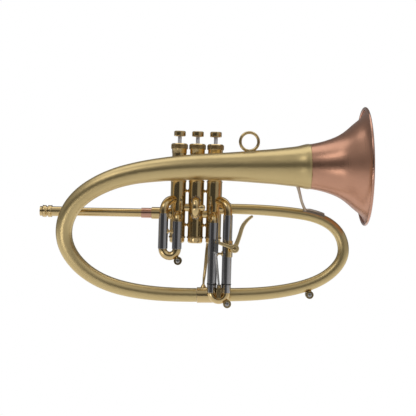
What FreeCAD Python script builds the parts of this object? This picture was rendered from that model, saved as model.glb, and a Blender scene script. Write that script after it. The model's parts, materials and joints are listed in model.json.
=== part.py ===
"""Flugelhorn in B flat, built as an assembly of separate pieces.

Frame: millimetres, +Z up, +X along the bell's axis towards the bell, +Y away from the player's right
hand.  The origin is the centre of the mouthpiece receiver's mouth.

Two smaller frames carry most of the small pieces: the valve frame, whose Z axis is valve 2's own axis,
and the mouthpipe frame, whose Z axis runs down the mouthpipe from the origin.
"""
import FreeCAD
import Part
import Sketcher
import math
import os

from FreeCAD import Placement, Rotation, Vector

X_AXIS = Vector(1, 0, 0)
Y_AXIS = Vector(0, 1, 0)
Z_AXIS = Vector(0, 0, 1)
TINY = 1e-6

# ----------------------------------------------------------------------------------------------------
# Driving dimensions, in millimetres and degrees
# ----------------------------------------------------------------------------------------------------
SIZES = {
    # bell
    "bell_axis_y": -29.0,
    "bell_axis_z": 56.9,
    "bell_front": 421.8,
    "bell_rim_radius": 76.0,
    "rim_wire_radius": 1.75,
    "rim_land": 0.15,
    "flare_length": 71.5,
    "sheet": 0.8,
    # mouthpipe
    "pipe_tilt": 1.02,
    "receiver_length": 38.9,
    "receiver_radius": 6.4,
    "receiver_bore": 4.95,
    "receiver_depth": 25.0,
    "ring_radius": 7.7,
    "first_ring_start": 3.7,
    "first_ring_end": 7.9,
    "second_ring_start": 10.6,
    "second_ring_end": 15.3,
    "pipe_radius": 5.55,
    "pipe_bore": 4.7,
    "pipe_end": 166.0,
    "collar_start": 132.5,
    "collar_end": 145.6,
    "collar_radius": 6.55,
    "socket_start": 146.0,
    "socket_end": 172.0,
    "socket_radius": 7.8,
    # valves
    "valve_x": 203.7,
    "valve_z": 3.84,
    "valve_tilt": 1.65,
    "valve_pitch": 23.6,
    "valve_stroke": 9.4,
    "casing_radius": 10.0,
    "casing_bore": 8.7,
    "casing_foot": -37.3,
    "casing_ring_radius": 10.4,
    "casing_ring_foot": 33.7,
    "casing_ring_top": 35.7,
    "casing_neck_radius": 9.3,
    "casing_neck_top": 71.0,
    "casing_thread_radius": 9.0,
    "casing_top": 80.0,
    "top_cap_skirt": 9.8,
    "top_cap_radius": 10.7,
    "top_cap_grip": 76.5,
    "top_cap_top": 83.8,
    "top_cap_roof": 81.6,
    "bottom_cap_ring_radius": 10.6,
    "bottom_cap_ring_foot": -39.7,
    "bottom_cap_radius": 9.75,
    "bottom_cap_floor": -44.9,
    "bottom_cap_foot": -46.1,
    "bottom_thread_end": -42.0,
    "piston_radius": 8.65,
    "piston_foot": -34.5,
    "piston_top": 33.5,
    "guide_foot": 36.0,
    "guide_top": 38.5,
    "stem_radius": 2.5,
    "stem_collar_radius": 7.4,
    "stem_collar_foot": 66.5,
    "stem_collar_top": 69.0,
    "spring_radius": 5.8,
    "spring_wire": 0.45,
    "button_foot": 93.5,
    "button_top": 100.2,
    "button_radius": 7.65,
    "bore_radius": 5.2,
    # valve slides
    "slide_y": -21.0,
    "outer_slide_radius": 6.2,
    "outer_slide_bore": 5.6,
    "inner_slide_radius": 5.55,
    "inner_slide_bore": 5.05,
    "crook_tube_radius": 5.5,
    "first_slide_left": -41.0,
    "first_slide_right": -23.0,
    "first_slide_foot": -53.4,
    "first_left_top": -8.0,
    "first_right_top": -18.1,
    "first_brace_z": -31.0,
    "third_slide_left": 23.6,
    "third_slide_right": 42.0,
    "third_slide_foot": -96.4,
    "third_left_top": -18.4,
    "third_right_top": -8.2,
    "third_brace_z": -58.0,
    "ring_seal_height": 1.2,
    "sleeve_foot": -108.2,
    "second_slide_upper": 9.6,
    "second_slide_lower": -8.4,
    "second_outer_end": 26.0,
    "second_crook_start": 30.4,
    # trigger
    "trigger_y": -31.0,
    "hub_x": 51.5,
    "hub_z": -50.5,
    "hub_radius": 5.0,
    "eye_x": 28.4,
    "eye_z": -42.8,
    "foot_x": 32.8,
    "foot_z": -100.3,
    # loop
    "ferrule_start": 204.8,
    "ferrule_end": 226.1,
    "ferrule_radius": 10.2,
    "loop_low_y": -2.0,
    "loop_low_z": -109.9,
    "tail_ferrule_end": 249.7,
    "tail_ferrule_radius": 7.5,
    "tail_z": 2.75,
    # finger ring and water keys
    "finger_ring_x": 272.7,
    "finger_ring_z": 88.8,
    "finger_ring_radius": 13.6,
    "finger_ring_wire": 1.9,
    "key_barrel_radius": 5.2,
    "key_plunger_radius": 2.8,
    "key_length": 12.0,
    "key_stroke": 2.0,
}

document = FreeCAD.newDocument("flugelhorn")
sheet = document.addObject("Spreadsheet::Sheet", "sizes")
for row, (alias, number) in enumerate(SIZES.items(), start=1):
    sheet.set(f"A{row}", alias)
    sheet.set(f"B{row}", str(number))
    sheet.setAlias(f"B{row}", alias)
document.recompute()

SUBPARTS = {}


def size(alias):
    """A driving dimension, read from the sheet."""
    return float(sheet.get(alias))


def number_of(entry):
    """The value of an outline entry: a number, an alias, or (alias, offset)."""
    if isinstance(entry, str):
        return size(entry)
    if isinstance(entry, tuple):
        return size(entry[0]) + entry[1]
    return float(entry)


def formula_of(entry):
    """The expression that binds an outline entry to the sheet."""
    if isinstance(entry, str):
        return f"sizes.{entry}"
    if isinstance(entry, tuple):
        return f"sizes.{entry[0]} + {entry[1]}"
    return f"{entry}"


def add_subpart(node, item):
    """Register an object as the sub-part that bears this node name."""
    item.Label = node
    SUBPARTS[node] = item
    return item


def feature(name, shape, placement=None):
    """A Part::Feature holding a shape made by the functions below."""
    item = document.addObject("Part::Feature", name)
    item.Shape = shape
    if placement is not None:
        item.Placement = placement
    return item


def grouped(name, members):
    """Several separate solids that share one node."""
    item = document.addObject("Part::Compound", name)
    item.Links = members
    return item


# ----------------------------------------------------------------------------------------------------
# Frames
# ----------------------------------------------------------------------------------------------------
VALVE_FRAME = Placement(Vector(size("valve_x"), 0, size("valve_z")), Rotation(Y_AXIS, size("valve_tilt")))
PIPE_FRAME = Placement(Vector(0, 0, 0), Rotation(Y_AXIS, 90 + size("pipe_tilt")))
TO_FRONT = Rotation(X_AXIS, 90)


def in_valves(x, y, z, rotation=Rotation()):
    """A placement given in the valve frame."""
    return VALVE_FRAME.multiply(Placement(Vector(x, y, z), rotation))


def valve_position(valve):
    """Where valve 1, 2 or 3 stands along the valve frame's X axis."""
    return (valve - 2) * size("valve_pitch")


# ----------------------------------------------------------------------------------------------------
# Solids of revolution, as bodies with a fully dimensioned sketch
# ----------------------------------------------------------------------------------------------------
def origin_plane(body, role):
    for item in body.Origin.OriginFeatures:
        if item.Role == role:
            return item
    raise ValueError(role)


def outline_sketch(body, name, corners):
    """A closed outline in the body's XZ plane, each corner held by two dimensions."""
    sketch = body.newObject("Sketcher::SketchObject", name)
    sketch.AttachmentSupport = (origin_plane(body, "XZ_Plane"), [""])
    sketch.MapMode = "FlatFace"
    points = [Vector(number_of(x), number_of(z), 0) for x, z in corners]
    count = len(points)
    for index in range(count):
        sketch.addGeometry(Part.LineSegment(points[index], points[(index + 1) % count]), False)
    for index in range(count):
        sketch.addConstraint(Sketcher.Constraint("Coincident", index, 2, (index + 1) % count, 1))
    for index, corner in enumerate(corners):
        for kind, entry, axis in (("DistanceX", corner[0], -2), ("DistanceY", corner[1], -1)):
            value = number_of(entry)
            if abs(value) < TINY:
                sketch.addConstraint(Sketcher.Constraint("PointOnObject", index, 1, axis))
                continue
            place = sketch.addConstraint(Sketcher.Constraint(kind, -1, 1, index, 1, value))
            if not isinstance(entry, (int, float)):
                sketch.setExpression(f"Constraints[{place}]", formula_of(entry))
    return sketch


def turned(name, corners, placement=Placement()):
    """A body turned about its own Z axis from (radius, height) corners."""
    body = document.addObject("PartDesign::Body", name)
    sketch = outline_sketch(body, name + "_outline", corners)
    turn = body.newObject("PartDesign::Revolution", name + "_turn")
    turn.Profile = sketch
    turn.ReferenceAxis = (sketch, ["V_Axis"])
    turn.Angle = 360
    body.Placement = placement
    return body


def sleeve(name, outer, bore, start, end, placement=Placement()):
    """A plain tube between two heights."""
    return turned(name, [(bore, start), (outer, start), (outer, end), (bore, end)], placement)


def half_bend(name, centre_radius, outer, bore, placement):
    """A tube bent through half a turn, its ends at plus and minus the radius on the X axis, facing +Z."""
    body = document.addObject("PartDesign::Body", name)
    sketch = body.newObject("Sketcher::SketchObject", name + "_section")
    sketch.AttachmentSupport = (origin_plane(body, "XY_Plane"), [""])
    sketch.MapMode = "FlatFace"
    for entry in (outer, bore):
        radius = number_of(entry)
        ring = sketch.addGeometry(Part.Circle(Vector(centre_radius, 0, 0), Z_AXIS, radius), False)
        place = sketch.addConstraint(Sketcher.Constraint("Radius", ring, radius))
        sketch.setExpression(f"Constraints[{place}]", formula_of(entry))
        sketch.addConstraint(Sketcher.Constraint("DistanceX", -1, 1, ring, 3, centre_radius))
        sketch.addConstraint(Sketcher.Constraint("PointOnObject", ring, 3, -1))
    turn = body.newObject("PartDesign::Revolution", name + "_turn")
    turn.Profile = sketch
    turn.ReferenceAxis = (sketch, ["V_Axis"])
    turn.Angle = 180
    body.Placement = placement
    return body


# ----------------------------------------------------------------------------------------------------
# Shapes made with Part's own functions
# ----------------------------------------------------------------------------------------------------
def cylinder(start, end, radius):
    """A solid cylinder between two points."""
    run = end - start
    return Part.makeCylinder(radius, run.Length, start, run)


def bent_path(points, bend):
    """Straight runs through the points, joined by tangent arcs of the given radius."""
    edges = []
    here = points[0]
    for before, corner, after in zip(points, points[1:], points[2:]):
        inward = (before - corner).normalize()
        outward = (after - corner).normalize()
        half_turn = inward.getAngle(outward) / 2
        reach = bend / math.tan(half_turn)
        first = corner + inward * reach
        last = corner + outward * reach
        bisector = (inward + outward).normalize()
        middle = corner + bisector * (bend / math.sin(half_turn) - bend)
        if (first - here).Length > TINY:
            edges.append(Part.LineSegment(here, first).toShape())
        edges.append(Part.Arc(first, middle, last).toShape())
        here = last
    edges.append(Part.LineSegment(here, points[-1]).toShape())
    return Part.Wire(edges)


def bent_rod(points, bend, radius):
    """A round rod along a bent path."""
    path = bent_path(points, bend)
    ring = Part.Wire(Part.makeCircle(radius, points[0], points[1] - points[0]))
    return path.makePipeShell([ring], True, False)


def bent_tube(points, bend, radius, bore):
    """A round tube along a bent path."""
    return bent_rod(points, bend, radius).cut(bent_rod(points, bend, bore))


def ring_across(centre, tangent, radius):
    """A circle square to a tangent, its seam always on the same side, so that no loft twists."""
    circle = Part.makeCircle(radius)
    side = Y_AXIS.cross(tangent)
    circle.Placement = Placement(centre, Rotation(side, tangent.cross(side), tangent, "ZXY"))
    return Part.Wire(circle)


def tapered_rings(stations, shrink=0.0, steps=2):
    """Circles square to a smooth line through (x, y, z, radius) stations."""
    line = Part.BSplineCurve()
    line.interpolate([Vector(*station[:3]) for station in stations])
    marks = [line.parameter(Vector(*station[:3])) for station in stations]
    rings = []
    for index in range(len(marks) - 1):
        for step in range(steps):
            share = step / steps
            rings.append((marks[index] * (1 - share) + marks[index + 1] * share,
                          stations[index][3] * (1 - share) + stations[index + 1][3] * share))
    rings.append((marks[-1], stations[-1][3]))
    return [ring_across(line.value(mark), line.tangent(mark)[0], radius - shrink) for mark, radius in rings]


def tapered_rod(stations, shrink=0.0):
    """A round solid lofted through the stations."""
    return Part.makeLoft(tapered_rings(stations, shrink), True, False)


def tapered_tube(stations, wall):
    """A round tube lofted through the stations: outer skin, inner skin and two end rings, sewn."""
    outer = tapered_rings(stations)
    inner = tapered_rings(stations, wall)
    faces = []
    for face in Part.makeLoft(outer, True, False).Faces:
        if face.Surface.TypeId != "Part::GeomPlane":
            faces.append(face)
    for face in Part.makeLoft(inner, True, False).Faces:
        if face.Surface.TypeId != "Part::GeomPlane":
            faces.append(face.reversed())
    start_ring = Part.Face(outer[0]).cut(Part.Face(inner[0])).Faces[0]
    faces.append(start_ring.reversed())
    faces.append(Part.Face(outer[-1]).cut(Part.Face(inner[-1])).Faces[0])
    skin = Part.makeShell(faces)
    skin.sewShape()
    return Part.makeSolid(skin)


def in_one(shapes):
    """Separate solids held in one shape."""
    return Part.makeCompound(shapes)


# ----------------------------------------------------------------------------------------------------
# Bell: copper flare, wired rim, brass stem round the left bow
# ----------------------------------------------------------------------------------------------------
BELL_Y = size("bell_axis_y")
BELL_Z = size("bell_axis_z")
SEAM_X = size("bell_front") - size("flare_length")
LOW_Y = size("loop_low_y")
LOW_Z = size("loop_low_z")

# distance back from the rim, outer radius
FLARE = [(0.6, 72.6), (6, 62.9), (15, 55.2), (25.3, 46.3), (35.6, 39.5), (45.8, 35.1), (56, 31.9),
         (size("flare_length"), 28.8)]

# x, y, z, outer radius
BELL_STEM = [
    (SEAM_X, BELL_Y, BELL_Z, 28.8),
    (324.7, BELL_Y, BELL_Z, 24.9),
    (304.2, BELL_Y, BELL_Z, 22.6),
    (283.7, BELL_Y, BELL_Z, 21.0),
    (263.2, BELL_Y, BELL_Z, 19.4),
    (242.7, BELL_Y, 56.8, 18.1),
    (219.0, BELL_Y, 56.5, 17.2),
    (195.0, BELL_Y, 55.8, 16.4),
    (171.0, BELL_Y, 54.1, 15.6),
    (147.5, BELL_Y, 51.6, 14.7),
    (124.0, -29.0, 47.9, 13.7),
    (101.0, -28.8, 41.9, 13.1),
    (79.0, -27.7, 32.7, 12.6),
    (58.8, -25.6, 19.9, 12.0),
    (43.0, -22.8, 2.6, 11.4),
    (34.3, -19.4, -18.9, 10.8),
    (35.2, -16.0, -41.8, 10.4),
    (45.8, -12.4, -62.9, 10.1),
    (63.0, -9.0, -80.0, 9.9),
    (83.2, -6.2, -92.0, 9.75),
    (105.5, -4.2, -100.0, 9.65),
    (128.5, -3.0, -104.9, 9.5),
    (152.0, -2.3, -107.8, 9.35),
    (178.0, LOW_Y, -109.4, 9.15),
    (size("ferrule_start"), LOW_Y, LOW_Z, 9.05),
]

flare_line = Part.BSplineCurve()
flare_line.interpolate([Vector(size("bell_front") - back, 0, radius) for back, radius in FLARE])
inner_line = Part.BSplineCurve()
inner_points = []
for step in range(13):
    mark = flare_line.FirstParameter + (flare_line.LastParameter - flare_line.FirstParameter) * step / 12
    along = flare_line.tangent(mark)[0]
    inner_points.append(flare_line.value(mark) + Vector(along.z, 0, -along.x) * -size("sheet"))
inner_points[-1] = Vector(SEAM_X, 0, FLARE[-1][1] - size("sheet"))
inner_line.interpolate(inner_points)
flare_face = Part.Face(Part.Wire([
    flare_line.toShape(),
    Part.LineSegment(flare_line.EndPoint, inner_line.EndPoint).toShape(),
    inner_line.toShape(),
    Part.LineSegment(inner_line.StartPoint, flare_line.StartPoint).toShape(),
]))
flare = flare_face.revolve(Vector(0, 0, 0), X_AXIS, 360)
wire_centre_x = size("bell_front") + size("rim_land") - size("rim_wire_radius")
rim_wire = Part.makeTorus(size("bell_rim_radius") - size("rim_wire_radius"), size("rim_wire_radius"),
                          Vector(wire_centre_x, 0, 0), X_AXIS)
flare = flare.cut(rim_wire)
front_cut = Part.makeCylinder(90, 5, Vector(size("bell_front"), 0, 0), X_AXIS)
rim_wire = rim_wire.cut(front_cut)
flare = flare.cut(front_cut)
TO_BELL = Placement(Vector(0, BELL_Y, BELL_Z), Rotation())
add_subpart("bell_flare", feature("flare", flare, TO_BELL))
add_subpart("bell_rim_wire", feature("rim_wire", rim_wire, TO_BELL))

bell_stem_core = tapered_rod(BELL_STEM)
bell_stem = tapered_tube(BELL_STEM, size("sheet"))
add_subpart("bell_stem", feature("stem", bell_stem))

# ----------------------------------------------------------------------------------------------------
# Bell branch: from the low ferrule round the right bow to valve 3
# ----------------------------------------------------------------------------------------------------
TAIL_X = size("tail_ferrule_end")
TAIL_Z = size("tail_z")
BRANCH = [
    (size("ferrule_end"), LOW_Y, LOW_Z, 8.9),
    (255.0, LOW_Y, -109.4, 8.7),
    (287.0, -1.9, -108.1, 8.5),
    (318.0, -1.7, -104.4, 8.3),
    (349.0, -1.5, -97.1, 8.1),
    (377.5, -1.2, -82.8, 7.7),
    (395.8, -1.0, -57.6, 7.35),
    (389.6, -0.8, -28.0, 7.2),
    (363.7, -0.5, -9.7, 7.15),
    (333.0, -0.3, -2.9, 7.1),
    (301.0, -0.1, 0.4, 6.95),
    (270.0, 0.0, 2.2, 6.75),
    (TAIL_X, 0.0, TAIL_Z, 6.6),
]
branch_core = tapered_rod(BRANCH)
add_subpart("bell_branch", feature("branch", tapered_tube(BRANCH, size("sheet"))))

FERRULE_LENGTH = size("ferrule_end") - size("ferrule_start")
# The solder film at each end of the low ferrule.
SOLDER_GAP = 0.25
third_casing_core = Part.makeCylinder(size("casing_radius"), 140, Vector(0, 0, -60), Z_AXIS)
third_casing_core.Placement = in_valves(valve_position(3), 0, 0)
low_ferrule = sleeve("low_ferrule", "ferrule_radius", 8.1, SOLDER_GAP, FERRULE_LENGTH - SOLDER_GAP,
                     Placement(Vector(size("ferrule_start"), LOW_Y, LOW_Z), Rotation(Y_AXIS, 90)))
tail_start = Vector(TAIL_X - 20, 0, TAIL_Z + 0.3)
tail_end = Vector(TAIL_X, 0, TAIL_Z)
tail_ferrule = cylinder(tail_start, tail_end, size("tail_ferrule_radius"))
tail_ferrule = tail_ferrule.cut(cylinder(tail_start, tail_end, 5.8)).cut(third_casing_core).cut(branch_core)
ferrules = [low_ferrule, feature("tail_ferrule", tail_ferrule)]
add_subpart("branch_ferrules", grouped("branch_ferrules", ferrules))

# ----------------------------------------------------------------------------------------------------
# Mouthpipe: receiver, tube and copper collar slide as one in the socket on valve 1
# ----------------------------------------------------------------------------------------------------
add_subpart("mouthpiece_receiver", turned("mouthpiece_receiver", [
    ("receiver_bore", 0),
    ("receiver_radius", 0),
    ("receiver_radius", "first_ring_start"),
    ("ring_radius", "first_ring_start"),
    ("ring_radius", "first_ring_end"),
    ("receiver_radius", "first_ring_end"),
    ("receiver_radius", "second_ring_start"),
    ("ring_radius", "second_ring_start"),
    ("ring_radius", "second_ring_end"),
    ("receiver_radius", "second_ring_end"),
    ("receiver_radius", "receiver_length"),
    ("pipe_radius", "receiver_length"),
    ("pipe_radius", ("receiver_depth", 1.0)),
    ("receiver_bore", "receiver_depth"),
], PIPE_FRAME))
add_subpart("mouthpipe", sleeve("mouthpipe", "pipe_radius", "pipe_bore", ("receiver_depth", 1.0),
                                "pipe_end", PIPE_FRAME))
add_subpart("mouthpipe_collar", sleeve("mouthpipe_collar", "collar_radius", "pipe_radius", "collar_start",
                                       "collar_end", PIPE_FRAME))
first_casing_core = Part.makeCylinder(size("casing_radius"), 140, Vector(0, 0, -60), Z_AXIS)
first_casing_core.Placement = in_valves(valve_position(1), 0, 0)
socket = document.addObject("Part::Cut", "mouthpipe_socket")
socket.Base = sleeve("socket_tube", "socket_radius", ("pipe_radius", 0.05), "socket_start", "socket_end",
                     PIPE_FRAME)
socket.Tool = feature("socket_saddle", first_casing_core)
add_subpart("mouthpipe_socket", socket)

# ----------------------------------------------------------------------------------------------------
# Valve casings and what closes them
# ----------------------------------------------------------------------------------------------------
# Height at which air enters and leaves each valve at rest: (side, height), side -1 left, +1 right
VALVE_PORTS = {
    1: [(-1, -7.8), (1, 0.3)],
    2: [(-1, 0.3), (1, -7.9)],
    3: [(-1, -7.9), (1, 0.1)],
}
# Mouths of the valve slides: a direction in plan and a height
SLIDE_PORTS = {
    1: [(-17.4, -21.0, 9.7), (0.6, -21.0, -9.4)],
    2: [(0.0, -21.0, 9.6), (0.0, -21.0, -8.4)],
    3: [(0.0, -21.0, -9.6), (18.4, -21.0, 10.1)],
}


def port_drill(valve, direction_x, direction_y, height, radius, length=14.0):
    """A cylinder that opens one port in the wall of a casing."""
    along = Vector(direction_x, direction_y, 0).normalize()
    centre = Vector(valve_position(valve), 0, height)
    return cylinder(centre, centre + along * length, radius)


def air_passage(valve, ports, radius):
    """The slanted hole through a piston that joins two ports."""
    ends = []
    for side, height in ports:
        ends.append(Vector(valve_position(valve) + side * 12.0, 0, height))
    return cylinder(ends[0], ends[1], radius)


# A little room at each end of a spring, so that it meets neither the guide nor the collar.
SPRING_GAP = 0.05
# The piston's narrower ends: their radius, and the heights where they stop
WAIST_RADIUS = 7.6
PISTON_TAIL = -18.0
PISTON_HEAD = 20.0
TUBE_WALL = 0.6
AIRWAY_RADIUS = size("bore_radius") - TUBE_WALL
for valve in (1, 2, 3):
    here = in_valves(valve_position(valve), 0, 0)
    casing = document.addObject("Part::Cut", f"valve_casing_{valve}")
    casing.Base = turned(f"casing_tube_{valve}", [
        ("casing_bore", "bottom_thread_end"),
        ("casing_neck_radius", "bottom_thread_end"),
        ("casing_neck_radius", "casing_foot"),
        ("casing_radius", "casing_foot"),
        ("casing_radius", "casing_ring_foot"),
        ("casing_ring_radius", "casing_ring_foot"),
        ("casing_ring_radius", "casing_ring_top"),
        ("casing_neck_radius", "casing_ring_top"),
        ("casing_neck_radius", "casing_neck_top"),
        ("casing_thread_radius", "casing_neck_top"),
        ("casing_thread_radius", "casing_top"),
        ("casing_bore", "casing_top"),
    ], here)
    drills = []
    for side, height in VALVE_PORTS[valve]:
        drills.append(port_drill(valve, side, 0, height, AIRWAY_RADIUS))
    for x, y, height in SLIDE_PORTS[valve]:
        drills.append(port_drill(valve, x, y, height, size("inner_slide_bore") - TUBE_WALL))
    casing.Tool = feature(f"casing_ports_{valve}", in_one(drills), VALVE_FRAME)
    add_subpart(f"valve_casing_{valve}", casing)

    piston = document.addObject("Part::Cut", f"piston_{valve}")
    piston.Base = turned(f"piston_body_{valve}", [
        (0, PISTON_TAIL),
        (WAIST_RADIUS, PISTON_TAIL),
        (WAIST_RADIUS, "piston_foot"),
        ("piston_radius", "piston_foot"),
        ("piston_radius", "piston_top"),
        (WAIST_RADIUS, "piston_top"),
        (WAIST_RADIUS, PISTON_HEAD),
        ("stem_radius", PISTON_HEAD),
        (0, PISTON_HEAD),
    ], here)
    passages = [air_passage(valve, VALVE_PORTS[valve], AIRWAY_RADIUS)]
    piston.Tool = feature(f"piston_passage_{valve}", in_one(passages), VALVE_FRAME)
    add_subpart(f"piston_{valve}", piston)

    add_subpart(f"valve_stem_{valve}", turned(f"valve_stem_{valve}", [
        (0, PISTON_HEAD),
        ("stem_radius", PISTON_HEAD),
        ("stem_radius", "stem_collar_foot"),
        ("stem_collar_radius", "stem_collar_foot"),
        ("stem_collar_radius", "stem_collar_top"),
        ("stem_radius", "stem_collar_top"),
        ("stem_radius", ("button_foot", 2.0)),
        (0, ("button_foot", 2.0)),
    ], here))

    rim = ("button_top", -0.9)
    add_subpart(f"finger_button_{valve}", turned(f"finger_button_{valve}", [
        (0, ("button_foot", 2.0)),
        ("stem_radius", ("button_foot", 2.0)),
        (("button_radius", -1.2), ("button_foot", 2.0)),
        (("button_radius", -1.2), "button_foot"),
        (("button_radius", -0.5), "button_foot"),
        ("button_radius", ("button_foot", 0.7)),
        ("button_radius", rim),
        (("button_radius", -0.9), "button_top"),
        (("button_radius", -2.0), "button_top"),
        (("button_radius", -2.6), ("button_top", -0.5)),
        (0, ("button_top", -0.3)),
    ], here))

    # The coil spring round the stem, as a sleeve of the coil's inside and outside size.
    add_subpart(f"valve_spring_{valve}", turned(f"valve_spring_{valve}", [
        (("spring_radius", -size("spring_wire")), ("guide_top", SPRING_GAP)),
        (("spring_radius", size("spring_wire")), ("guide_top", SPRING_GAP)),
        (("spring_radius", size("spring_wire")), ("stem_collar_foot", -SPRING_GAP)),
        (("spring_radius", -size("spring_wire")), ("stem_collar_foot", -SPRING_GAP)),
    ], here))


def one_per_valve(name, corners):
    """Three like pieces, one on each valve, in one node."""
    members = []
    for valve in (1, 2, 3):
        members.append(turned(f"{name}_{valve}", corners, in_valves(valve_position(valve), 0, 0)))
    return add_subpart(name, grouped(name, members))


STEM_HOLE = ("stem_radius", 0.35)
FELT_THICKNESS = 1.4
one_per_valve("top_caps", [
    (STEM_HOLE, "top_cap_roof"),
    (STEM_HOLE, "top_cap_top"),
    (("top_cap_radius", -1.2), "top_cap_top"),
    ("top_cap_radius", ("top_cap_top", -1.2)),
    ("top_cap_radius", "top_cap_grip"),
    ("top_cap_skirt", "top_cap_grip"),
    ("top_cap_skirt", "casing_neck_top"),
    ("casing_thread_radius", "casing_neck_top"),
    ("casing_thread_radius", "casing_top"),
    (("casing_thread_radius", -0.5), "top_cap_roof"),
])
one_per_valve("cap_felts", [
    (STEM_HOLE, ("top_cap_roof", -FELT_THICKNESS)),
    (WAIST_RADIUS, ("top_cap_roof", -FELT_THICKNESS)),
    (WAIST_RADIUS, "top_cap_roof"),
    (STEM_HOLE, "top_cap_roof"),
])
one_per_valve("bottom_caps", [
    (0, "bottom_cap_foot"),
    (("bottom_cap_radius", -2.4), "bottom_cap_foot"),
    (("bottom_cap_radius", -0.7), ("bottom_cap_foot", 0.7)),
    ("bottom_cap_radius", ("bottom_cap_foot", 2.4)),
    ("bottom_cap_radius", "bottom_cap_ring_foot"),
    ("bottom_cap_ring_radius", "bottom_cap_ring_foot"),
    ("bottom_cap_ring_radius", "casing_foot"),
    ("casing_neck_radius", "casing_foot"),
    ("casing_neck_radius", "bottom_thread_end"),
    (("casing_bore", 0.1), "bottom_thread_end"),
    (("casing_bore", 0.1), "bottom_cap_floor"),
    (0, "bottom_cap_floor"),
])
one_per_valve("valve_guides", [
    (STEM_HOLE, "guide_foot"),
    ("casing_bore", "guide_foot"),
    ("casing_bore", "guide_top"),
    (STEM_HOLE, "guide_top"),
])


CORE_LENGTH = 71.0


def casing_cores():
    """The outer cylinders of all three casings, for trimming what is soldered to them."""
    cores = []
    for valve in (1, 2, 3):
        foot = Vector(valve_position(valve), 0, size("casing_foot"))
        cores.append(Part.makeCylinder(size("casing_radius"), CORE_LENGTH, foot, Z_AXIS))
    return cores


def trimmed(shape, tools):
    """A shape with its ends cut to seat on its neighbours."""
    for tool in tools:
        shape = shape.cut(tool)
    return shape


CASINGS = casing_cores()
knuckles = []
for left, height in ((1, 0.3), (2, -7.9)):
    start = Vector(valve_position(left), 0, height)
    end = Vector(valve_position(left + 1), 0, height)
    tube = cylinder(start, end, size("bore_radius")).cut(cylinder(start, end, AIRWAY_RADIUS))
    solids = trimmed(tube, CASINGS).Solids
    knuckles.append(in_one([piece for piece in solids if abs(piece.CenterOfMass.y) < 1.0]))
add_subpart("valve_knuckles", feature("knuckles", in_one(knuckles), VALVE_FRAME))

# The little struts between the casings: radius at the casings and at the middle, and half the length
BRACE_FLANGE = 3.4
BRACE_WAIST = 1.1
BRACE_REACH = 2.6
braces = []
for left in (1, 2):
    for height in (-22.2, 22.2):
        middle = (valve_position(left) + valve_position(left + 1)) / 2
        left_end = Vector(middle - BRACE_REACH, 0, height)
        waist = Part.makeCone(BRACE_FLANGE, BRACE_WAIST, BRACE_REACH, left_end, X_AXIS)
        flare_out = Part.makeCone(BRACE_WAIST, BRACE_FLANGE, BRACE_REACH, Vector(middle, 0, height), X_AXIS)
        braces.append(trimmed(waist.fuse(flare_out), CASINGS))
add_subpart("casing_braces", feature("braces", in_one(braces), VALVE_FRAME))

# ----------------------------------------------------------------------------------------------------
# Valve slides 1 and 3: nickel outer legs, brass bows up to the valves, sliding crooks below
# ----------------------------------------------------------------------------------------------------
SLIDE_Y = size("slide_y")
GAP = 0.3
BOW_RADIUS = 5.5
BOW_BORE = 4.9
BOW_BEND = 15.5


def outer_leg(name, x_alias, foot_alias, top_alias):
    """An outer slide tube, open below, with a thicker lip where the bow is soldered on."""
    return turned(name, [
        ("outer_slide_bore", foot_alias),
        ("outer_slide_radius", foot_alias),
        ("outer_slide_radius", top_alias),
        (BOW_BORE + 0.1, top_alias),
        (BOW_BORE + 0.1, (top_alias, -2.0)),
        ("outer_slide_bore", (top_alias, -2.0)),
    ], in_valves(size(x_alias), SLIDE_Y, 0))


def leg_bow(valve, x_alias, top_alias, height):
    """A bow from the top of a slide leg up and over into its valve."""
    leg = Vector(size(x_alias), SLIDE_Y, size(top_alias))
    corner = Vector(size(x_alias), SLIDE_Y, height)
    port = Vector(valve_position(valve), 0, height)
    bend = min(BOW_BEND, height - size(top_alias) - 0.2)
    tube = bent_tube([leg, corner, port], bend, BOW_RADIUS, BOW_BORE)
    pieces = tube.cut(CASINGS[valve - 1]).Solids
    return max(pieces, key=lambda piece: piece.Volume)


add_subpart("slide1_upper_bows", feature("slide1_bows", in_one([
    leg_bow(1, "first_slide_left", "first_left_top", SLIDE_PORTS[1][0][2]),
    leg_bow(1, "first_slide_right", "first_right_top", SLIDE_PORTS[1][1][2]),
]), VALVE_FRAME))
add_subpart("slide3_upper_bows", feature("slide3_bows", in_one([
    leg_bow(3, "third_slide_left", "third_left_top", SLIDE_PORTS[3][0][2]),
    leg_bow(3, "third_slide_right", "third_right_top", SLIDE_PORTS[3][1][2]),
]), VALVE_FRAME))
add_subpart("slide1_outer_tubes", grouped("slide1_outer_tubes", [
    outer_leg("slide1_left_leg", "first_slide_left", "first_slide_foot", "first_left_top"),
    outer_leg("slide1_right_leg", "first_slide_right", "first_slide_foot", "first_right_top"),
]))
add_subpart("slide3_outer_tubes", grouped("slide3_outer_tubes", [
    outer_leg("slide3_left_leg", "third_slide_left", "third_slide_foot", "third_left_top"),
    outer_leg("slide3_right_leg", "third_slide_right", "third_slide_foot", "third_right_top"),
]))


def pair_of_legs(name, left_alias, right_alias, corners):
    """The same turned piece on both legs of a slide."""
    members = []
    for side, alias in (("left", left_alias), ("right", right_alias)):
        members.append(turned(f"{name}_{side}", corners, in_valves(size(alias), SLIDE_Y, 0)))
    return add_subpart(name, grouped(name, members))


FIRST = ("first_slide_left", "first_slide_right")
THIRD = ("third_slide_left", "third_slide_right")
first_middle = (size(FIRST[0]) + size(FIRST[1])) / 2
third_middle = (size(THIRD[0]) + size(THIRD[1])) / 2
first_bend = (size(FIRST[1]) - size(FIRST[0])) / 2
third_bend = (size(THIRD[1]) - size(THIRD[0])) / 2
first_crook_z = size("first_slide_foot") - GAP

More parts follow.
